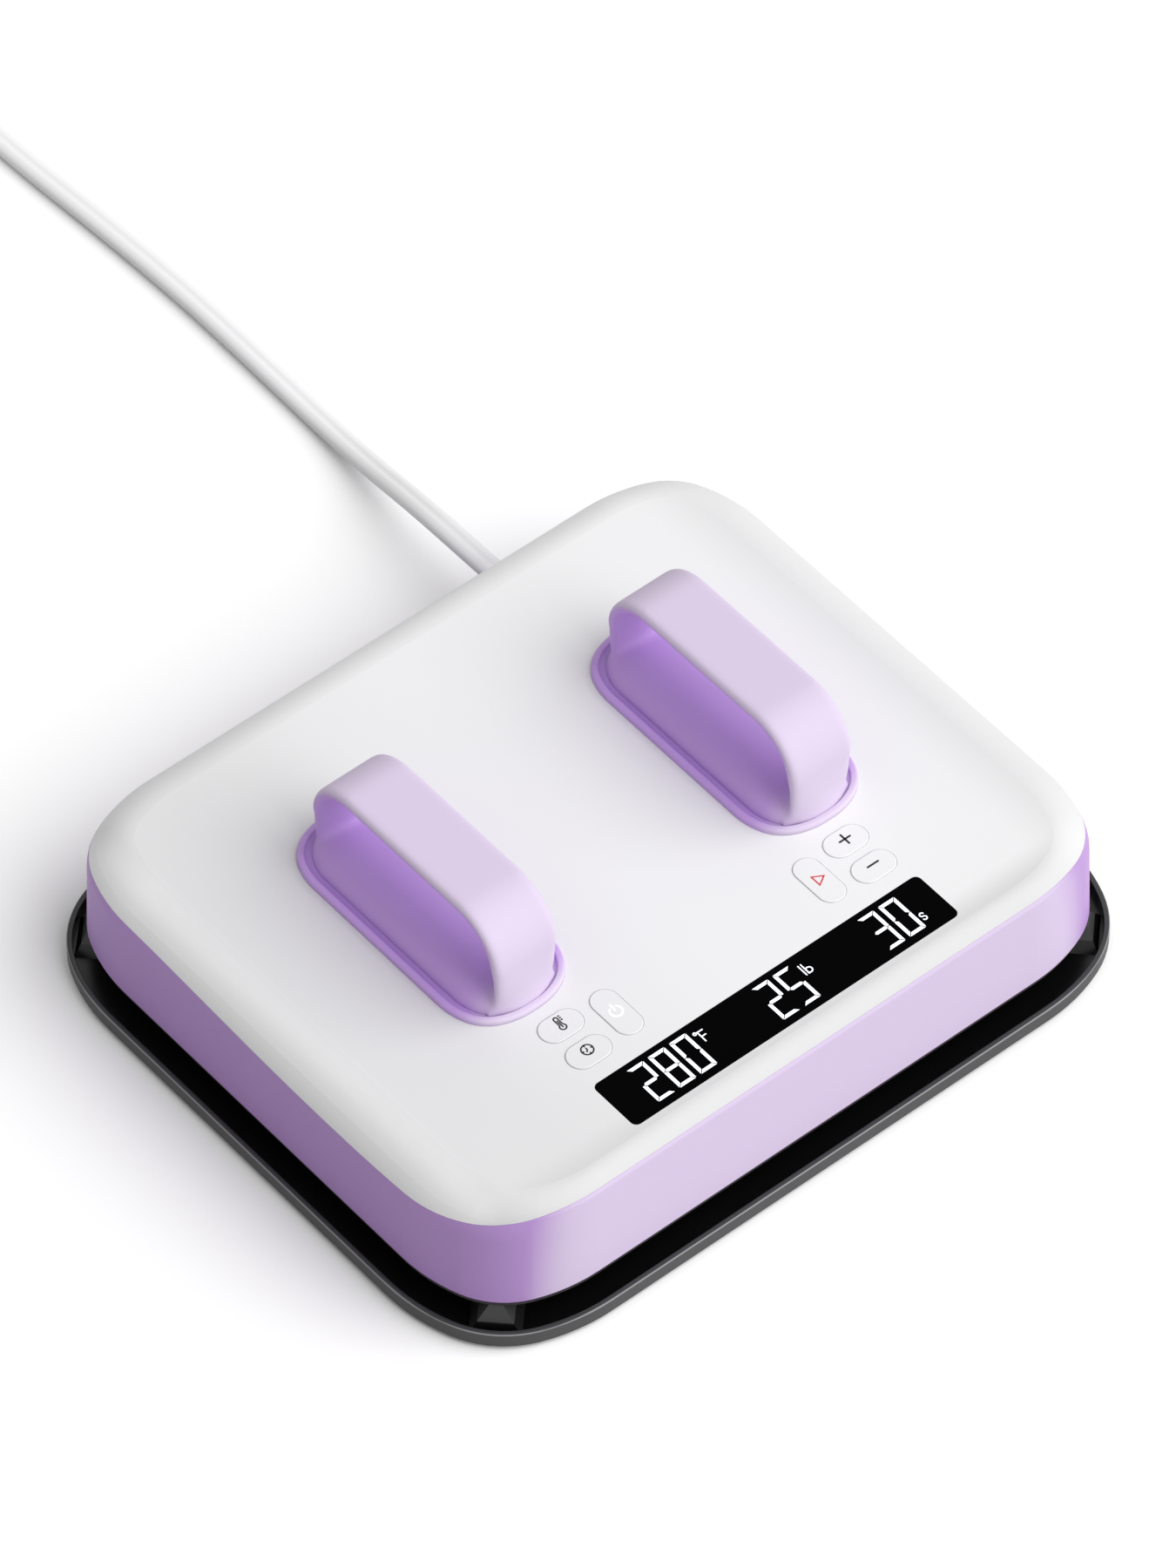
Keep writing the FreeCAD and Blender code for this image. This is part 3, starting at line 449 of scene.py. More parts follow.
def tray_finish():
    """Glossy black inside, an outer wall in matt grey that is a painted reflection of the pale floor, a
    grey rim top, and a painted highlight along the outer edge of the rim. How far a place is outside the
    middle of the wall is (u^n + v^n)^(1/n) - r, where u and v are its X and Y beyond the start of a
    corner of reach r."""
    finish = new_finish("tray_black")
    u = finish.axis(0).beyond(TRAY_HALF[0] - TRAY_CORNER)
    v = finish.axis(1).beyond(TRAY_HALF[1] - TRAY_CORNER)
    outside = (u**TRAY_POWER + v**TRAY_POWER) ** (1 / TRAY_POWER) - 1000 * TRAY_CORNER
    height = finish.axis(2) * 1000.0
    # The wall's grey is a painted reflection of the floor, and the pale grey on the rim's outer edge is a
    # painted highlight.
    wall = finish.step(outside, -0.2, 0.2)
    rim = finish.step(height, TRAY_RIM - 0.35, TRAY_RIM - 0.2)
    edge = finish.step(outside, 0.75, 0.95) * finish.step(height, TRAY_RIM - 0.75, TRAY_RIM - 0.5)
    shade = finish.mix(wall, linear(9, 9, 10), linear(72, 72, 73))
    shade = finish.mix(rim, shade, linear(58, 58, 59))
    shade = finish.mix(edge, shade, linear(138, 138, 140))
    inputs = {
        "Base Color": shade,
        "Roughness": 0.22 + 0.3 * wall + 0.08 * finish.smear(),
        "Specular IOR Level": 0.35,
        "Normal": finish.bump(finish.noise(1250.0), strength=0.2),
    }
    return finish.principled(inputs)


def dress(material, *nodes):
    """Puts a finish on these solids of the frame."""
    for name in nodes:
        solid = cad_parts[name]
        for slot in solid.material_slots:
            slot.material = material


add_camera()

cord_white = moulded("cord_white", linear(238, 238, 239), 0.42, grain=0.0009)
route = np.concatenate([CORD_LEAD, coil_route(), CORD_TAIL])
cord_line = spline_points(route)
cord_points, cord_faces = swept(cord_line, twin_section())
cord_skin = mesh_piece("cord_skin", cord_points, cord_faces, cord_white)
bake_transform(cord_skin)
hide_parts("cord_lead", "cord_run", "cord_coil", "cord_tail")

# Finishes of the solids.
# The side, left roll and front roll whites are painted shade and painted light on one white plastic.
COVER, COVER_SIDE_PAINTED_SHADE = linear(239, 239, 240), linear(225, 225, 226)
COVER_LEFT_ROLL_PAINTED_LIGHT, COVER_FRONT_ROLL_PAINTED_SHADE = linear(245, 245, 246), linear(214, 214, 215)
# Each pale and strong pair of lilacs is a lit and a shaded copy of one plastic: painted light and painted
# shade.
LILAC_PAINTED_LIT, LILAC_PAINTED_SHADE = linear(218, 201, 230), linear(186, 149, 211)
GRIP_PAINTED_LIT, GRIP_PAINTED_SHADE = linear(217, 203, 227), linear(202, 166, 230)
cover_white = cover_finish()
band_lilac = lilac_finish(
    "band_lilac", LILAC_PAINTED_LIT, LILAC_PAINTED_SHADE, 0.42, 0.2, lambda f: f.ease(f.axis(1), *BAND_FRONT_PAINTED_LIGHT)
)
# The grip is pale on the strap's outside and front end, and takes painted shade inside and on the foot.
grip_lilac = lilac_finish("grip_lilac", GRIP_PAINTED_LIT, GRIP_PAINTED_SHADE, 0.55, 0.12, grip_painted_light_share)
tray_black = tray_finish()
window_black = moulded("window_black", linear(4, 4, 5), 0.12, grain=0.002, depth=0.000004, specular=0.01)
shell_dark = moulded("shell_dark", linear(52, 46, 52), 0.5)
mat_grey = moulded("mat_grey", linear(120, 120, 124), 0.7)
foot_black = moulded("foot_black", linear(28, 28, 29), 0.75)
plate_dark = moulded("plate_dark", linear(60, 60, 62), 0.4, metal=0.3)
steel = moulded("steel", linear(176, 176, 178), 0.34, metal=1.0)
fibre = moulded("fibre", linear(214, 208, 190), 0.9, grain=0.0015, depth=0.0003)
alloy = moulded("alloy", linear(190, 192, 196), 0.38, metal=1.0)
board = moulded("board", linear(22, 92, 52), 0.4)
black = moulded("black", linear(24, 24, 25), 0.45)
blue = moulded("blue", linear(36, 84, 160), 0.42)
brass = moulded("brass", linear(206, 178, 108), 0.28, metal=1.0)

BUTTONS = ("temperature", "timer", "power", "start", "plus", "minus")
dress(cover_white, "top_cover", *(f"button_{b}" for b in BUTTONS))
dress(band_lilac, "side_band")
dress(grip_lilac, "handle_grip_left", "handle_grip_right")
dress(tray_black, "base_tray")
dress(window_black, "display_window")
dress(shell_dark, "bottom_shell", "display_module")
dress(mat_grey, "base_mat")
dress(foot_black, *(f"base_foot_{k}" for k in range(1, 5)))
dress(plate_dark, "heating_plate")
dress(steel, "heating_element", "heat_shield", "temperature_sensor")
dress(steel, *(f"handle_screw_{k}" for k in range(1, 5)))
dress(fibre, "insulation_blanket")
dress(alloy, *(f"load_cell_{k}" for k in range(1, 5)))
dress(board, "main_board", "power_board", "panel_board_left", "panel_board_right")
dress(black, "thermal_cutout", "buzzer", "transformer", *(f"switch_{b}" for b in BUTTONS))
dress(black, "handle_core_left", "handle_core_right", "cord_clamp")
dress(blue, "relay", "terminal_block")
dress(cord_white, "strain_relief", "cord_inner", "plug_body")
dress(brass, "plug_blade_1", "plug_blade_2")

# How much of a plate's height its top edge is drawn in by, and the sines along a stroke's round end.
BEVEL_SHARE = 0.35
ROUND_END = np.sin(np.linspace(0.06, 1.0, 7) * math.pi / 2)


def inset(outline, gap):
    """A convex outline, turned left, with each edge moved inwards by gap. Corners are where the moved
    lines meet."""
    outline = np.asarray(outline, float)
    edge = np.roll(outline, -1, 0) - outline
    edge /= np.linalg.norm(edge, axis=1, keepdims=True)
    inward = np.stack([-edge[:, 1], edge[:, 0]], 1)
    before, inward_before = np.roll(edge, 1, 0), np.roll(inward, 1, 0)
    across = before[:, 0] * edge[:, 1] - before[:, 1] * edge[:, 0]
    shift = inward - inward_before
    run = (shift[:, 0] * edge[:, 1] - shift[:, 1] * edge[:, 0]) / across
    return outline + gap * (inward_before + before * run[:, None])


def plates(name, outlines, low, high, material):
    """Thin closed plates: each outline (mm) stands from low to high, with its top edge drawn in a
    little."""
    bevel = BEVEL_SHARE * (high - low) / MM
    points, faces = [], []
    for outline in outlines:
        outline = np.asarray(outline, float)
        count = len(outline)
        first = sum(len(p) for p in points)
        tops = inset(outline, bevel)
        levels = ((outline, low), (outline, high - bevel * MM), (tops, high))
        ring = [np.column_stack([xy * MM, np.full(count, z)]) for xy, z in levels]
        points.append(np.concatenate(ring))
        faces += [[first + k for k in face] for face in grid_faces(3, count)]
        faces.append([first + k for k in reversed(range(count))])
        faces.append([first + 2 * count + k for k in range(count)])
    return mesh_piece(name, np.concatenate(points), faces, material, rounded=False)


def strokes(name, paths, width, low, high, material):
    """Printed lines: each path (mm) becomes a flat bar of that width. Its half width follows a circle
    at an open path's ends, so they are round. A path that comes back to its start is a closed ring."""
    points, faces = [], []
    for path in paths:
        path = np.asarray(path, float)
        ring = np.allclose(path[0], path[-1])
        half = np.full(len(path), width / 2)
        if ring:
            path = path[:-1]
            along = np.roll(path, -1, 0) - np.roll(path, 1, 0)
            half = half[:-1]
        else:
            first_way = (path[1] - path[0]) / np.linalg.norm(path[1] - path[0])
            last_way = (path[-1] - path[-2]) / np.linalg.norm(path[-1] - path[-2])
            sine, cosine = width / 2 * ROUND_END, width / 2 * np.sqrt(1 - ROUND_END**2)
            start = path[0] - first_way * cosine[:, None]
            end = path[-1] + last_way * cosine[::-1, None]
            half = np.concatenate([sine, half[1:-1], sine[::-1]])
            path = np.concatenate([start, path[1:-1], end])
            along = np.gradient(path, axis=0)
        along = along / np.linalg.norm(along, axis=1, keepdims=True)
        left = np.stack([-along[:, 1], along[:, 0]], 1) * half[:, None]
        count = len(path)
        sides = [(path - left, low), (path + left, low), (path + left, high), (path - left, high)]
        corner = [np.column_stack([xy * MM, np.full(count, z)]) for xy, z in sides]
        first = sum(len(p) for p in points)
        points.append(np.stack(corner, 1)[:, ::-1].reshape(-1, 3))
        faces += [[first + k for k in face] for face in grid_faces(count, 4, loop=ring)]
        if not ring:
            last = first + 4 * (count - 1)
            faces.append([first + k for k in (3, 2, 1, 0)])
            faces.append([last + k for k in range(4)])
    return mesh_piece(name, np.concatenate(points), faces, material, rounded=False)


def arc(centre, radius, start, stop, count=40):
    """Points on a circle, angles in degrees, anticlockwise from +X when stop is the larger."""
    angle = np.radians(np.linspace(start, stop, count))
    return np.asarray(centre) + radius * np.stack([np.cos(angle), np.sin(angle)], 1)


def moved(paths, centre):
    return [np.asarray(p, float) + np.asarray(centre, float) for p in paths]


# The readouts: seven bars to a figure, in millimetres on the window, and the gap round each bar.
FIGURE_WIDE = 9.0
FIGURE_HIGH = 20.6
FIGURE_PITCH = 11.1
BAR = 2.0
BAR_GAP = 0.18
BARS_OF = {0: "abcdef", 2: "abged", 3: "abgcd", 5: "afgcd", 8: "abcdefg"}


def bar_outlines():
    """The seven bars of a figure whose lower left corner is at 0, each a convex outline turned left."""
    w, h, t = FIGURE_WIDE, FIGURE_HIGH, BAR
    m, n = h / 2, BAR / 2
    return {
        "a": [(0, h), (t, h - t), (w - t, h - t), (w, h)],
        "b": [(w, h), (w - t, h - t), (w - t, m + n), (w - n, m), (w, m)],
        "c": [(w, 0), (w, m), (w - n, m), (w - t, m - n), (w - t, t)],
        "d": [(0, 0), (w, 0), (w - t, t), (t, t)],
        "e": [(0, 0), (t, t), (t, m - n), (n, m), (0, m)],
        "f": [(0, m), (n, m), (t, m + n), (t, h - t), (0, h)],
        "g": [(n, m), (t, m - n), (w - t, m - n), (w - n, m), (w - t, m + n), (t, m + n)],
    }


def figures(number, left, bottom):
    """The bars of a number, given by its figures, whose first lower left corner is there."""
    outlines = []
    bars = bar_outlines()
    for place, figure in enumerate(number):
        corner = (left + FIGURE_PITCH * place, bottom)
        outlines += moved([inset(bars[b], BAR_GAP) for b in BARS_OF[figure]], corner)
    return outlines


def lit(name, colour, strength):
    """A printed or lit mark: its own colour, and a glow of its own at that strength. The display's bars
    are truly lit; on printed ink the glow is painted light.
    """
    finish = new_finish(name)
    shade = finish.noise(900.0)
    tone = finish.mix(shade, scaled(colour, 0.94), colour)
    inputs = {
        "Base Color": tone,
        "Roughness": 0.3 + 0.1 * shade,
        "Emission Color": tone,
        "Emission Strength": strength,
    }
    return finish.principled(inputs)


# Each readout's figures and left edge, then the strokes of the units and of the marks on the buttons.
FIGURES_BOTTOM = -128.0
MARK_THICK = 0.06 * MM
window_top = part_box("display_window")[1][2]
lit_white = lit("lit_white", linear(240, 244, 250), 0.5)
ink_black = lit("ink_black", linear(22, 22, 24), 0.0)
# The white and red inks glow a little: painted light on printed marks.
ink_white_painted_glow = lit("ink_white_painted_glow", linear(250, 250, 252), 0.3)
ink_red_painted_glow = lit("ink_red_painted_glow", linear(204, 28, 40), 0.15)

readouts = {
    "readout_heat": ((2, 8, 0), -70.7),
    "readout_force": ((2, 5), -5.0),
    "readout_time": ((3, 0), 51.2),
}
for name, (number, left) in readouts.items():
    outlines = figures(number, left, FIGURES_BOTTOM)
    piece = plates(name, outlines, window_top, window_top + MARK_THICK, lit_white)
    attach(piece, "press")

UNITS = [
    arc((-37.1, -110.5), 0.62, 0, 360),
    [(-35.8, -116.0), (-35.8, -113.2), (-35.8, -110.5)],
    [(-35.8, -110.5), (-34.4, -110.5), (-33.2, -110.5)],
    [(-35.8, -113.2), (-34.6, -113.2), (-33.6, -113.2)],
    [(17.5, -110.4), (17.5, -113.0), (17.5, -116.0)],
    [(18.9, -110.4), (18.9, -113.0), (18.9, -116.0)],
    arc((20.0, -114.5), 1.4, 150, -150),
    np.concatenate([arc((73.6, -122.0), 0.95, 20, 270), arc((73.6, -123.9), 0.95, 90, -160)[1:]]),
]
units = strokes("readout_units", UNITS, 0.6, window_top, window_top + MARK_THICK, lit_white)
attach(units, "press")

THERMOMETER = [
    np.concatenate(
        [
            arc((0, 2.6), 0.85, 180, 0, 20),
            arc((0, -2.3), 1.45, 54, -234, 40),
            [(-0.85, 2.6)],
        ]
    ),
    [(0, -2.3), (0, 0), (0, 1.4)],
    [(1.8, 1.0), (2.0, 1.0), (2.2, 1.0)],
    [(1.8, 2.1), (2.0, 2.1), (2.2, 2.1)],
    [(1.8, 3.2), (2.0, 3.2), (2.2, 3.2)],
]
CLOCK = [
    arc((0, 0), 2.6, 0, 360, 64),
    [(0, 2.4), (0, 2.2), (0, 1.9)],
    [(0, -2.4), (0, -2.2), (0, -1.9)],
    [(2.4, 0), (2.2, 0), (1.9, 0)],
    [(-2.4, 0), (-2.2, 0), (-1.9, 0)],
    [(0, 0.9), (0, 0), (-0.75, -0.75)],
]
POWER = [arc((0, 0), 2.7, 125, 415, 60), [(0, 0.6), (0, 2.0), (0, 4.0)]]
START = [[(-1.9, -2.7), (-1.9, 2.7), (2.6, 0.0), (-1.9, -2.7)]]
PLUS = [[(-2.75, 0), (0, 0), (2.75, 0)], [(0, -2.75), (0, 0), (0, 2.75)]]
MINUS = [[(-2.75, 0), (0, 0), (2.75, 0)]]
# Each button's mark: its strokes, its centre on the cover, the strokes' width (mm) and the ink.
MARKS = {
    "temperature": (THERMOMETER, (-75.2, -71.6), 0.66, ink_black),
    "timer": (CLOCK, (-75.35, -89.2), 0.68, ink_black),
    "power": (POWER, (-53.7, -81.3), 0.8, ink_white_painted_glow),
    "start": (START, (54.0, -81.2), 1.2, ink_red_painted_glow),
    "plus": (PLUS, (75.8, -71.9), 0.92, ink_black),
    "minus": (MINUS, (75.8, -89.3), 0.92, ink_black),
}
for name, (paths, centre, width, ink) in MARKS.items():
    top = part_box(f"button_{name}")[1][2]
    mark = strokes(f"mark_{name}", moved(paths, centre), width, top, top + MARK_THICK, ink)
    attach(mark, f"key_{name}")

# A pale lip low in each button's gap, so that the gap isn't a black line. Half sizes of the buttons and
# their centres are in millimetres, then how far the gap's middle is outside a button and the lip's width.
PILL, TALL = (10.2, 6.45), (6.2, 13.35)
BUTTON_AT = {
    "temperature": (-75.5, -72.75, PILL),
    "timer": (-75.5, -90.2, PILL),
    "power": (-53.75, -81.6, TALL),
    "start": (53.75, -81.6, TALL),
    "plus": (75.5, -72.75, PILL),
    "minus": (75.5, -90.2, PILL),
}
GAP_MIDDLE = 0.175
GAP_LIP = 0.22
GAP_HIGH, GAP_LOW = 73.2 * MM, 72.0 * MM


def pill_path(half_x, half_y, grow, steps=10):
    """A pill's outline around 0, grown by that much, as a closed path."""
    radius = min(half_x, half_y) + grow
    turn = np.radians(np.linspace(0, 90, steps))
    x = half_x + grow - radius + radius * np.cos(turn)
    y = half_y + grow - radius + radius * np.sin(turn)
    quarter = np.stack([x, y], 1)
    back = quarter[::-1] * (-1, 1)
    ring = np.concatenate([quarter, back, -quarter, -back])
    keep = np.linalg.norm(ring - np.roll(ring, 1, 0), axis=1) > 1e-6
    ring = ring[keep]
    return np.concatenate([ring, ring[:1]])


lips = [moved([pill_path(*half, GAP_MIDDLE)], (x, y))[0] for x, y, half in BUTTON_AT.values()]
gap_lips = strokes("button_gap_lips", lips, GAP_LIP, GAP_LOW, GAP_HIGH, cover_white)
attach(gap_lips, "press")

# The grips, in millimetres above the cover: a lipped foot, and a strap that flows into the mound
# between its legs.
COVER_TOP = 73.5
GRIP_X = 78.0
GRIP_LOW, GRIP_TOP = 0.7, 51.5
FRONT_LEG, BACK_LEG = -56.6, 64.7
FRONT_LEAN, BACK_LEAN = 2.0, 3.2
SHOULDER = 25.0
# The strap's half width, its thickness at the edge, its bulge inside, and its outer and inner rounding.
STRAP_HALF, STRAP_EDGE, STRAP_BULGE = 16.3, 5.0, 3.0
STRAP_ROUND = (2.7, 2.0)
# Each leg's bow as a length, and its spread sideways, each with the height up to which it acts.
LEG_ROUND, LEG_ROUND_UP = 48.0, 20.0
LEG_FLARE, LEG_FLARE_UP = 3.2, 11.0
# A corner's radius is wide in its first and last CORNER_SPLIT, and tight between them. Lip and mound
# are half x, half y, wide and tight radius and centre y.
CORNER_SPLIT = math.radians(22.0)
LIP = (28.5, 66.5, 34.0, 21.0, 6.5)
LIP_NARROWING = 0.94
MOUND = (22.8, 62.6, 26.0, 18.8, 5.4)
MOUND_ROLL, MOUND_LOW, MOUND_HIGH = 19.0, 1.2, 13.0
# The voxel in metres, then the smoothing: its rounds, the least share of it, and the heights (mm) over
# which it starts above the foot and ends on the strap.
VOXEL = 0.0008
SMOOTH_ROUNDS = 70
SMOOTH_LEAST = 0.12
SMOOTH_START, SMOOTH_START_WIDE = 1.5, 3.0
SMOOTH_END, SMOOTH_END_WIDE = 30.0, 10.0


def ring_points(half_x, half_y, wide, tight, centre_y, steps=9):
    """Level outline whose corners ease in: with heading p from 0 to 90 degrees, x is the integral of r
    cos p and y that of r sin p, where the radius r is wide near both ends and tight between them."""
    heading = np.linspace(0, math.pi / 2, 3 * steps)
    early = np.minimum(heading, CORNER_SPLIT)
    middle = np.clip(heading, CORNER_SPLIT, math.pi / 2 - CORNER_SPLIT)
    late = np.maximum(heading, math.pi / 2 - CORNER_SPLIT)
    x = wide * (np.sin(early) + np.sin(late) - math.cos(CORNER_SPLIT))
    x += tight * (np.sin(middle) - math.sin(CORNER_SPLIT))
    y = wide * (1 - np.cos(early) + math.sin(CORNER_SPLIT) - np.cos(late))
    y += tight * (math.cos(CORNER_SPLIT) - np.cos(middle))
    x, y = half_x - x[-1] + x, y - half_y
    quarter = np.stack([x, y], 1)
    mirrored = quarter[::-1] * (1, -1)
    half = np.concatenate([quarter, mirrored])
    ring = np.concatenate([half, half[::-1] * (-1, 1)])
    return ring + (0.0, centre_y)


def stacked(levels):
    """Closed solid from level rings: each level is (half x, half y, wide, tight, centre y, height)."""
    rings = []
    for *outline, height in levels:
        ring = ring_points(*outline)
        rings.append(np.column_stack([ring, np.full(len(ring), height)]))
    points = np.concatenate(rings)
    count = len(rings[0])
    faces = grid_faces(len(rings), count)
    faces.append(list(reversed(range(count))))
    faces.append([len(points) - count + k for k in range(count)])
    return points, faces


def lip_solid():
    """Foot plate: a rounded rim, then a groove around the mound. The rim is a list of (inset, height)."""
    half_x, half_y, wide, tight, centre = LIP
    turn = np.radians(np.linspace(0, 90, 6))
    rim = [(0.0, 0.0), (0.0, 1.4)]
    rim += [(1.3 * (1 - math.cos(t)), 1.4 + 1.3 * math.sin(t)) for t in turn[1:]]
    rim += [(2.5 + 0.9 * math.sin(t), 2.7 - 0.9 * (1 - math.cos(t))) for t in turn]
    rim += [(3.5, 1.35), (7.0, 1.3)]
    levels = [(half_x - d, half_y - LIP_NARROWING * d, wide - d, tight - d, centre, h) for d, h in rim]
    return stacked(levels)


def mound_solid():
    """Low mound: its side is a quarter ellipse from the groove up to a flat top."""
    half_x, half_y, wide, tight, centre = MOUND
    levels = [(half_x, half_y, wide, tight, centre, GRIP_LOW)]
    for t in np.radians(np.linspace(0, 88, 22)):
        d = MOUND_ROLL * (1 - math.cos(t))
        height = MOUND_LOW + (MOUND_HIGH - MOUND_LOW) * math.sin(t)
        levels.append((half_x - d, half_y - d, wide - 1.1 * d, tight - 0.86 * d, centre, height))
    return stacked(levels)


def rounded_line(corners, radius, steps=16):
    """An open line in a plane whose inner corners are arcs of that radius."""
    corners = np.asarray(corners, float)
    line = [corners[:1]]
    for before, here, after in zip(corners, corners[1:], corners[2:]):
        back = (before - here) / np.linalg.norm(before - here)
        on = (after - here) / np.linalg.norm(after - here)
        half = 0.5 * math.acos(float(back @ on))
        bisector = (back + on) / np.linalg.norm(back + on)
        centre = here + bisector * radius / math.sin(half)
        first = here + back * radius / math.tan(half) - centre
        last = here + on * radius / math.tan(half) - centre
        angle = math.atan2(first[0] * last[1] - first[1] * last[0], float(first @ last))
        turn = angle * np.linspace(0, 1, steps)
        x = first[0] * np.cos(turn) - first[1] * np.sin(turn)
        y = first[0] * np.sin(turn) + first[1] * np.cos(turn)
        line.append(centre + np.stack([x, y], 1))
    return np.concatenate([*line, corners[-1:]])


def strap_section():
    """Closed outline of the strap as (x, depth): flat outside, rounded edges, and a soft bulge inside."""
    outer, inner = STRAP_ROUND
    turn = np.radians(np.linspace(0, 90, 7))
    flat = STRAP_HALF - outer
    top = np.stack([np.linspace(-flat, flat, 13), np.zeros(13)], 1)
    edge = np.stack([flat + outer * np.sin(turn), outer - outer * np.cos(turn)], 1)[1:]
    under = STRAP_HALF - inner
    fold = np.stack([under + inner * np.cos(turn), STRAP_EDGE - inner + inner * np.sin(turn)], 1)
    x = np.linspace(under, -under, 15)[1:-1]
    belly = np.stack([x, STRAP_EDGE + STRAP_BULGE * (1 - (x / under) ** 2)], 1)
    right = np.concatenate([edge, fold])
    left = right[::-1] * (-1, 1)
    return np.concatenate([top, right, belly, left[:-1]])


def strap_solid():
    """The strap's outline carried up the front leg, over the top and down the back leg. Near the cover
    each leg's outer face bows back at its edges, by x squared over a length, and the leg spreads
    sideways."""
    front_top = (FRONT_LEG + FRONT_LEAN, GRIP_TOP)
    back_top = (BACK_LEG - BACK_LEAN, GRIP_TOP)
    line = rounded_line([(FRONT_LEG, GRIP_LOW), front_top, back_top, (BACK_LEG, GRIP_LOW)], SHOULDER)
    step = np.linalg.norm(np.diff(line, axis=0), axis=1)
    place = np.concatenate([[0.0], np.cumsum(step)])
    fine = np.linspace(0, place[-1], 220)
    line = np.stack([np.interp(fine, place, line[:, k]) for k in range(2)], 1)
    along = np.gradient(line, axis=0)
    along /= np.linalg.norm(along, axis=1, keepdims=True)
    inward = np.stack([along[:, 1], -along[:, 0]], 1)
    section = strap_section()
    depth = section[:, 1]
    x = np.broadcast_to(section[:, 0], (len(line), len(section))).copy()
    y = line[:, :1] + inward[:, :1] * depth
    h = line[:, 1:] + inward[:, 1:] * depth
    low = smooth(1 - h / LEG_ROUND_UP)
    middle = 0.5 * (FRONT_LEG + BACK_LEG)
    outside = np.clip(1 - depth / STRAP_EDGE, 0, 1)
    y -= np.sign(y - middle) * low * outside * x**2 / LEG_ROUND
    spread = np.clip(1 - h / LEG_FLARE_UP, 0, 1) ** 2
    x += LEG_FLARE * spread * x / STRAP_HALF
    points = np.stack([x, y, h], -1).reshape(-1, 3)
    count = len(section)
    faces = grid_faces(len(line), count)
    faces.append(list(reversed(range(count))))
    faces.append([len(points) - count + k for k in range(count)])
    return points, faces


def joined(solids):
    """Several closed solids as one list of points and faces."""
    points, faces = [], []
    for solid_points, solid_faces in solids:
        first = sum(len(p) for p in points)
        points.append(solid_points)
        faces += [[first + k for k in face] for face in solid_faces]
    return np.concatenate(points), faces


def mesh_arrays(mesh):
    """A mesh's points, and its edges as pairs of point numbers."""
    points = np.empty(len(mesh.vertices) * 3)
    mesh.vertices.foreach_get("co", points)
    edges = np.empty(len(mesh.edges) * 2, int)
    mesh.edges.foreach_get("vertices", edges)
    return points.reshape(-1, 3), edges.reshape(-1, 2)


def outward(piece):
    """Turns all faces of a closed mesh outwards."""
    work = bmesh.new()
    work.from_mesh(piece.data)
    bmesh.ops.recalc_face_normals(work, faces=work.faces)
    work.to_mesh(piece.data)
    work.free()


def merged(name, solids, material):
    """Overlapping closed solids (mm) as one skin: a fine voxel remesh, then each point moves towards
    the mean of its neighbours, over and over, most where the legs run into the mound and least on
    the strap."""
    points, faces = joined(solids)
    piece = mesh_piece(name, points * MM, faces, material)
    outward(piece)
    remesh = piece.modifiers.new("voxels", "REMESH")
    remesh.mode = "VOXEL"
    remesh.voxel_size = VOXEL
    solid = bpy.data.meshes.new_from_object(piece.evaluated_get(bpy.context.evaluated_depsgraph_get()))
    bpy.data.objects.remove(piece)
    points, edges = mesh_arrays(solid)
    high = points[:, 2] / MM
    above_foot = smooth((high - SMOOTH_START) / SMOOTH_START_WIDE)
    below_strap = smooth((SMOOTH_END - high) / SMOOTH_END_WIDE)
    share = SMOOTH_LEAST + (1 - SMOOTH_LEAST) * above_foot * below_strap
    both = np.concatenate([edges, edges[:, ::-1]])
    links = np.bincount(both[:, 0], minlength=len(points))[:, None]
    for _ in range(SMOOTH_ROUNDS):
        sums = [np.bincount(both[:, 0], points[both[:, 1], k], len(points)) for k in range(3)]
        near = np.stack(sums, 1)
        points += 0.5 * share[:, None] * (near / links - points)
    sides = np.empty(len(solid.polygons), int)
    solid.polygons.foreach_get("loop_total", sides)
    corners = np.empty(len(solid.loops), int)
    solid.loops.foreach_get("vertex_index", corners)
    faces = np.split(corners, np.cumsum(sides)[:-1])
    bpy.data.meshes.remove(solid)
    return points / MM, [face.tolist() for face in faces]


def add_grips():
    """Both grips, from one skin of mound and strap on a foot plate."""
    bpy.context.view_layer.update()
    body = merged("grip_blank", [mound_solid(), strap_solid()], grip_lilac)
    points, faces = joined([lip_solid(), body])
    for side, name in ((-1, "left"), (1, "right")):
        place = points + (side * GRIP_X, 0.0, COVER_TOP)
        grip = mesh_piece(f"grip_{name}", place * MM, faces, grip_lilac)
        outward(grip)
        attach(grip, "press")
        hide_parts(f"handle_grip_{name}")


add_grips()

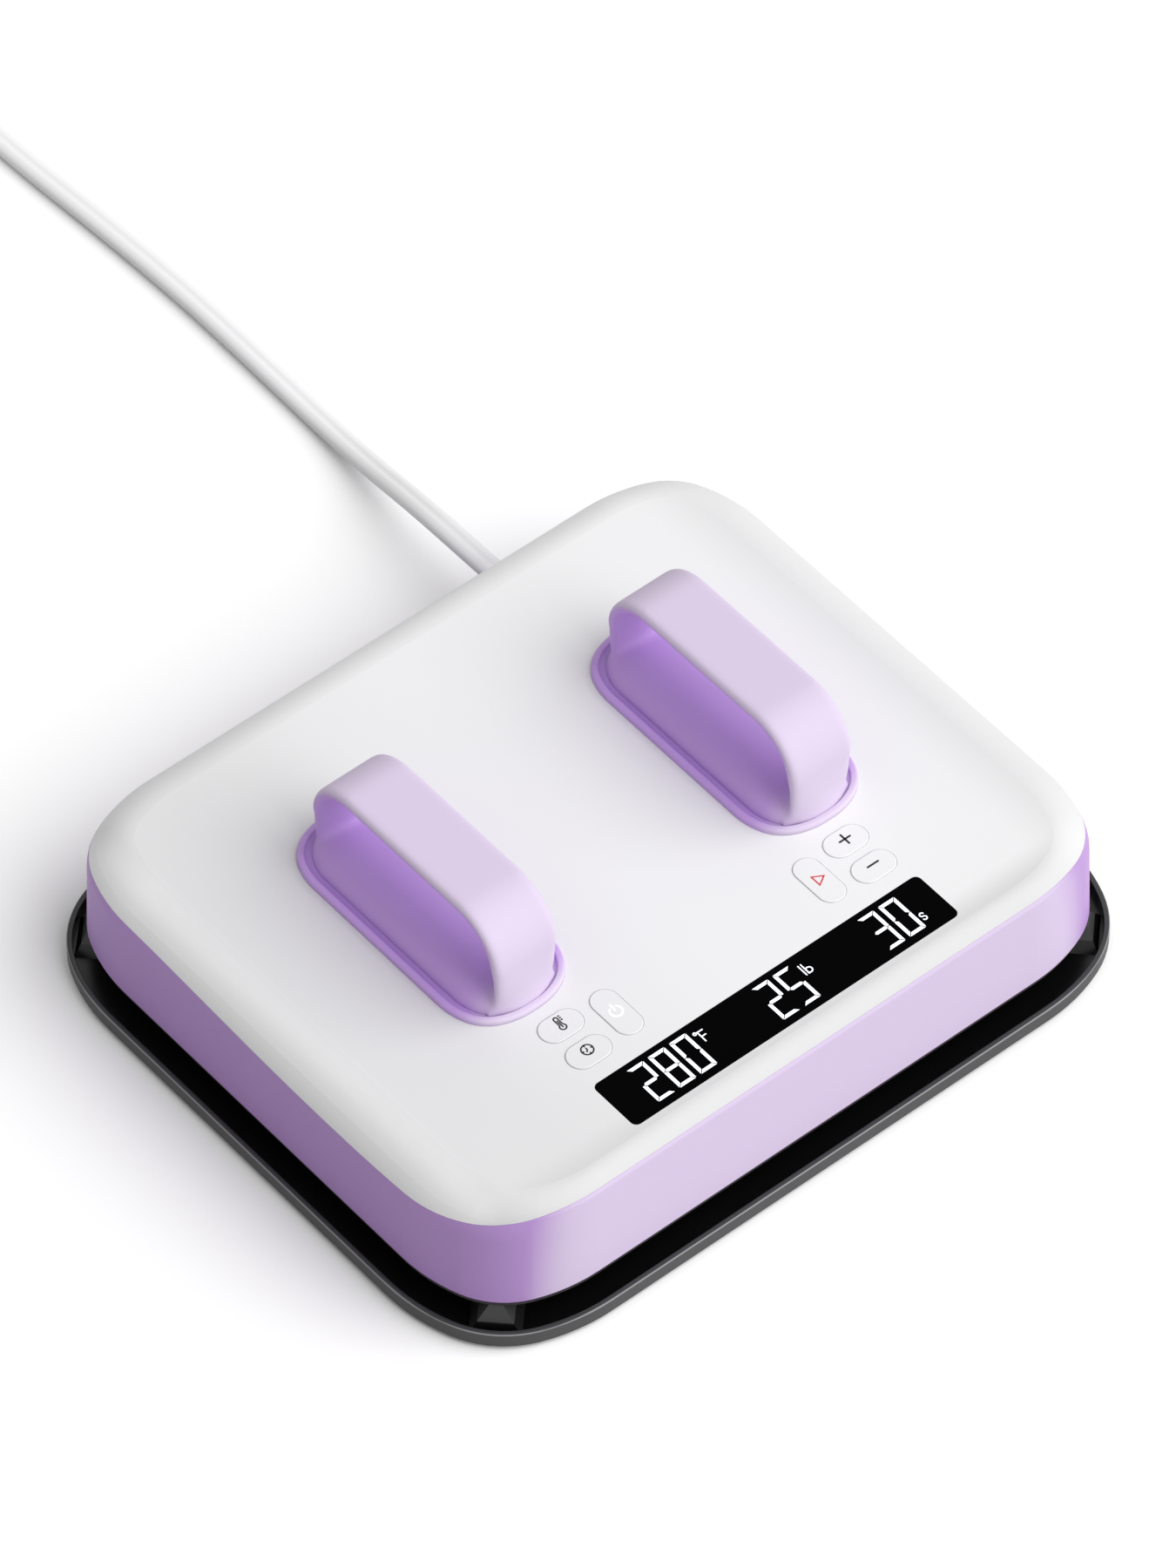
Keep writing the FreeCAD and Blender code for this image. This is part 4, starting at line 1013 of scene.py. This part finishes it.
# The room: a pale floor, a large soft lamp far off at the front right and an even sky. The floor's share
# is how much light it sends back to the part, and FLOOR_SEEN is how it looks to the camera.
SKY = 0.44
KEY_TOWARDS = (0.42, -0.60, 0.68)
KEY_WIDE = 70.0
KEY_SHARE = 0.86
FLOOR_WIDE = 6.0
FLOOR_SHARE = 0.5
FLOOR_SEEN = 1.09


def add_lamp(name, towards, wide, share):
    """A far lamp that looks wide degrees across. A white surface that faces it gets this share of full
    light."""
    data = bpy.data.lights.new(name, "SUN")
    data.angle = math.radians(wide)
    data.energy = share * math.pi
    lamp = bpy.data.objects.new(name, data)
    bpy.context.collection.objects.link(lamp)
    lamp.rotation_euler = Vector(towards).to_track_quat("Z", "Y").to_euler()


def seen_rays(finish):
    """1 for rays that show the room itself: from the camera, or by a mirror or glass."""
    path = "ShaderNodeLightPath"
    camera = finish.node(path, output=0)
    glossy = finish.node(path, output=3)
    clear = finish.node(path, output=6)
    return (camera + glossy + clear).at_most(1.0)


def add_room():
    """The sky, the floor and the lamp. The sky and the floor look white, and light the part by smaller
    shares."""
    bpy.context.scene.world = bpy.data.worlds.new("room")
    air = Finish(bpy.context.scene.world)
    strength = SKY + (1.0 - SKY) * seen_rays(air)
    sky = air.node("ShaderNodeBackground", {}, {"Color": (1.0, 1.0, 1.0, 1.0), "Strength": strength})
    air.surface(sky, "ShaderNodeOutputWorld")

    ground = new_finish("floor_pale")
    tone = ground.mix(seen_rays(ground), (FLOOR_SHARE,) * 3, (FLOOR_SEEN,) * 3)
    floor_pale = ground.surface(ground.node("ShaderNodeBsdfDiffuse", {}, {"Color": tone}))
    half = FLOOR_WIDE / 2
    corners = [(-half, -half, 0), (half, -half, 0), (half, half, 0), (-half, half, 0)]
    floor = mesh_piece("floor", corners, [[0, 1, 2, 3]], floor_pale, rounded=False)
    add_lamp("key", KEY_TOWARDS, KEY_WIDE, KEY_SHARE)


add_room()
bpy.context.scene.view_settings.view_transform = "Standard"

bpy.context.view_layer.update()
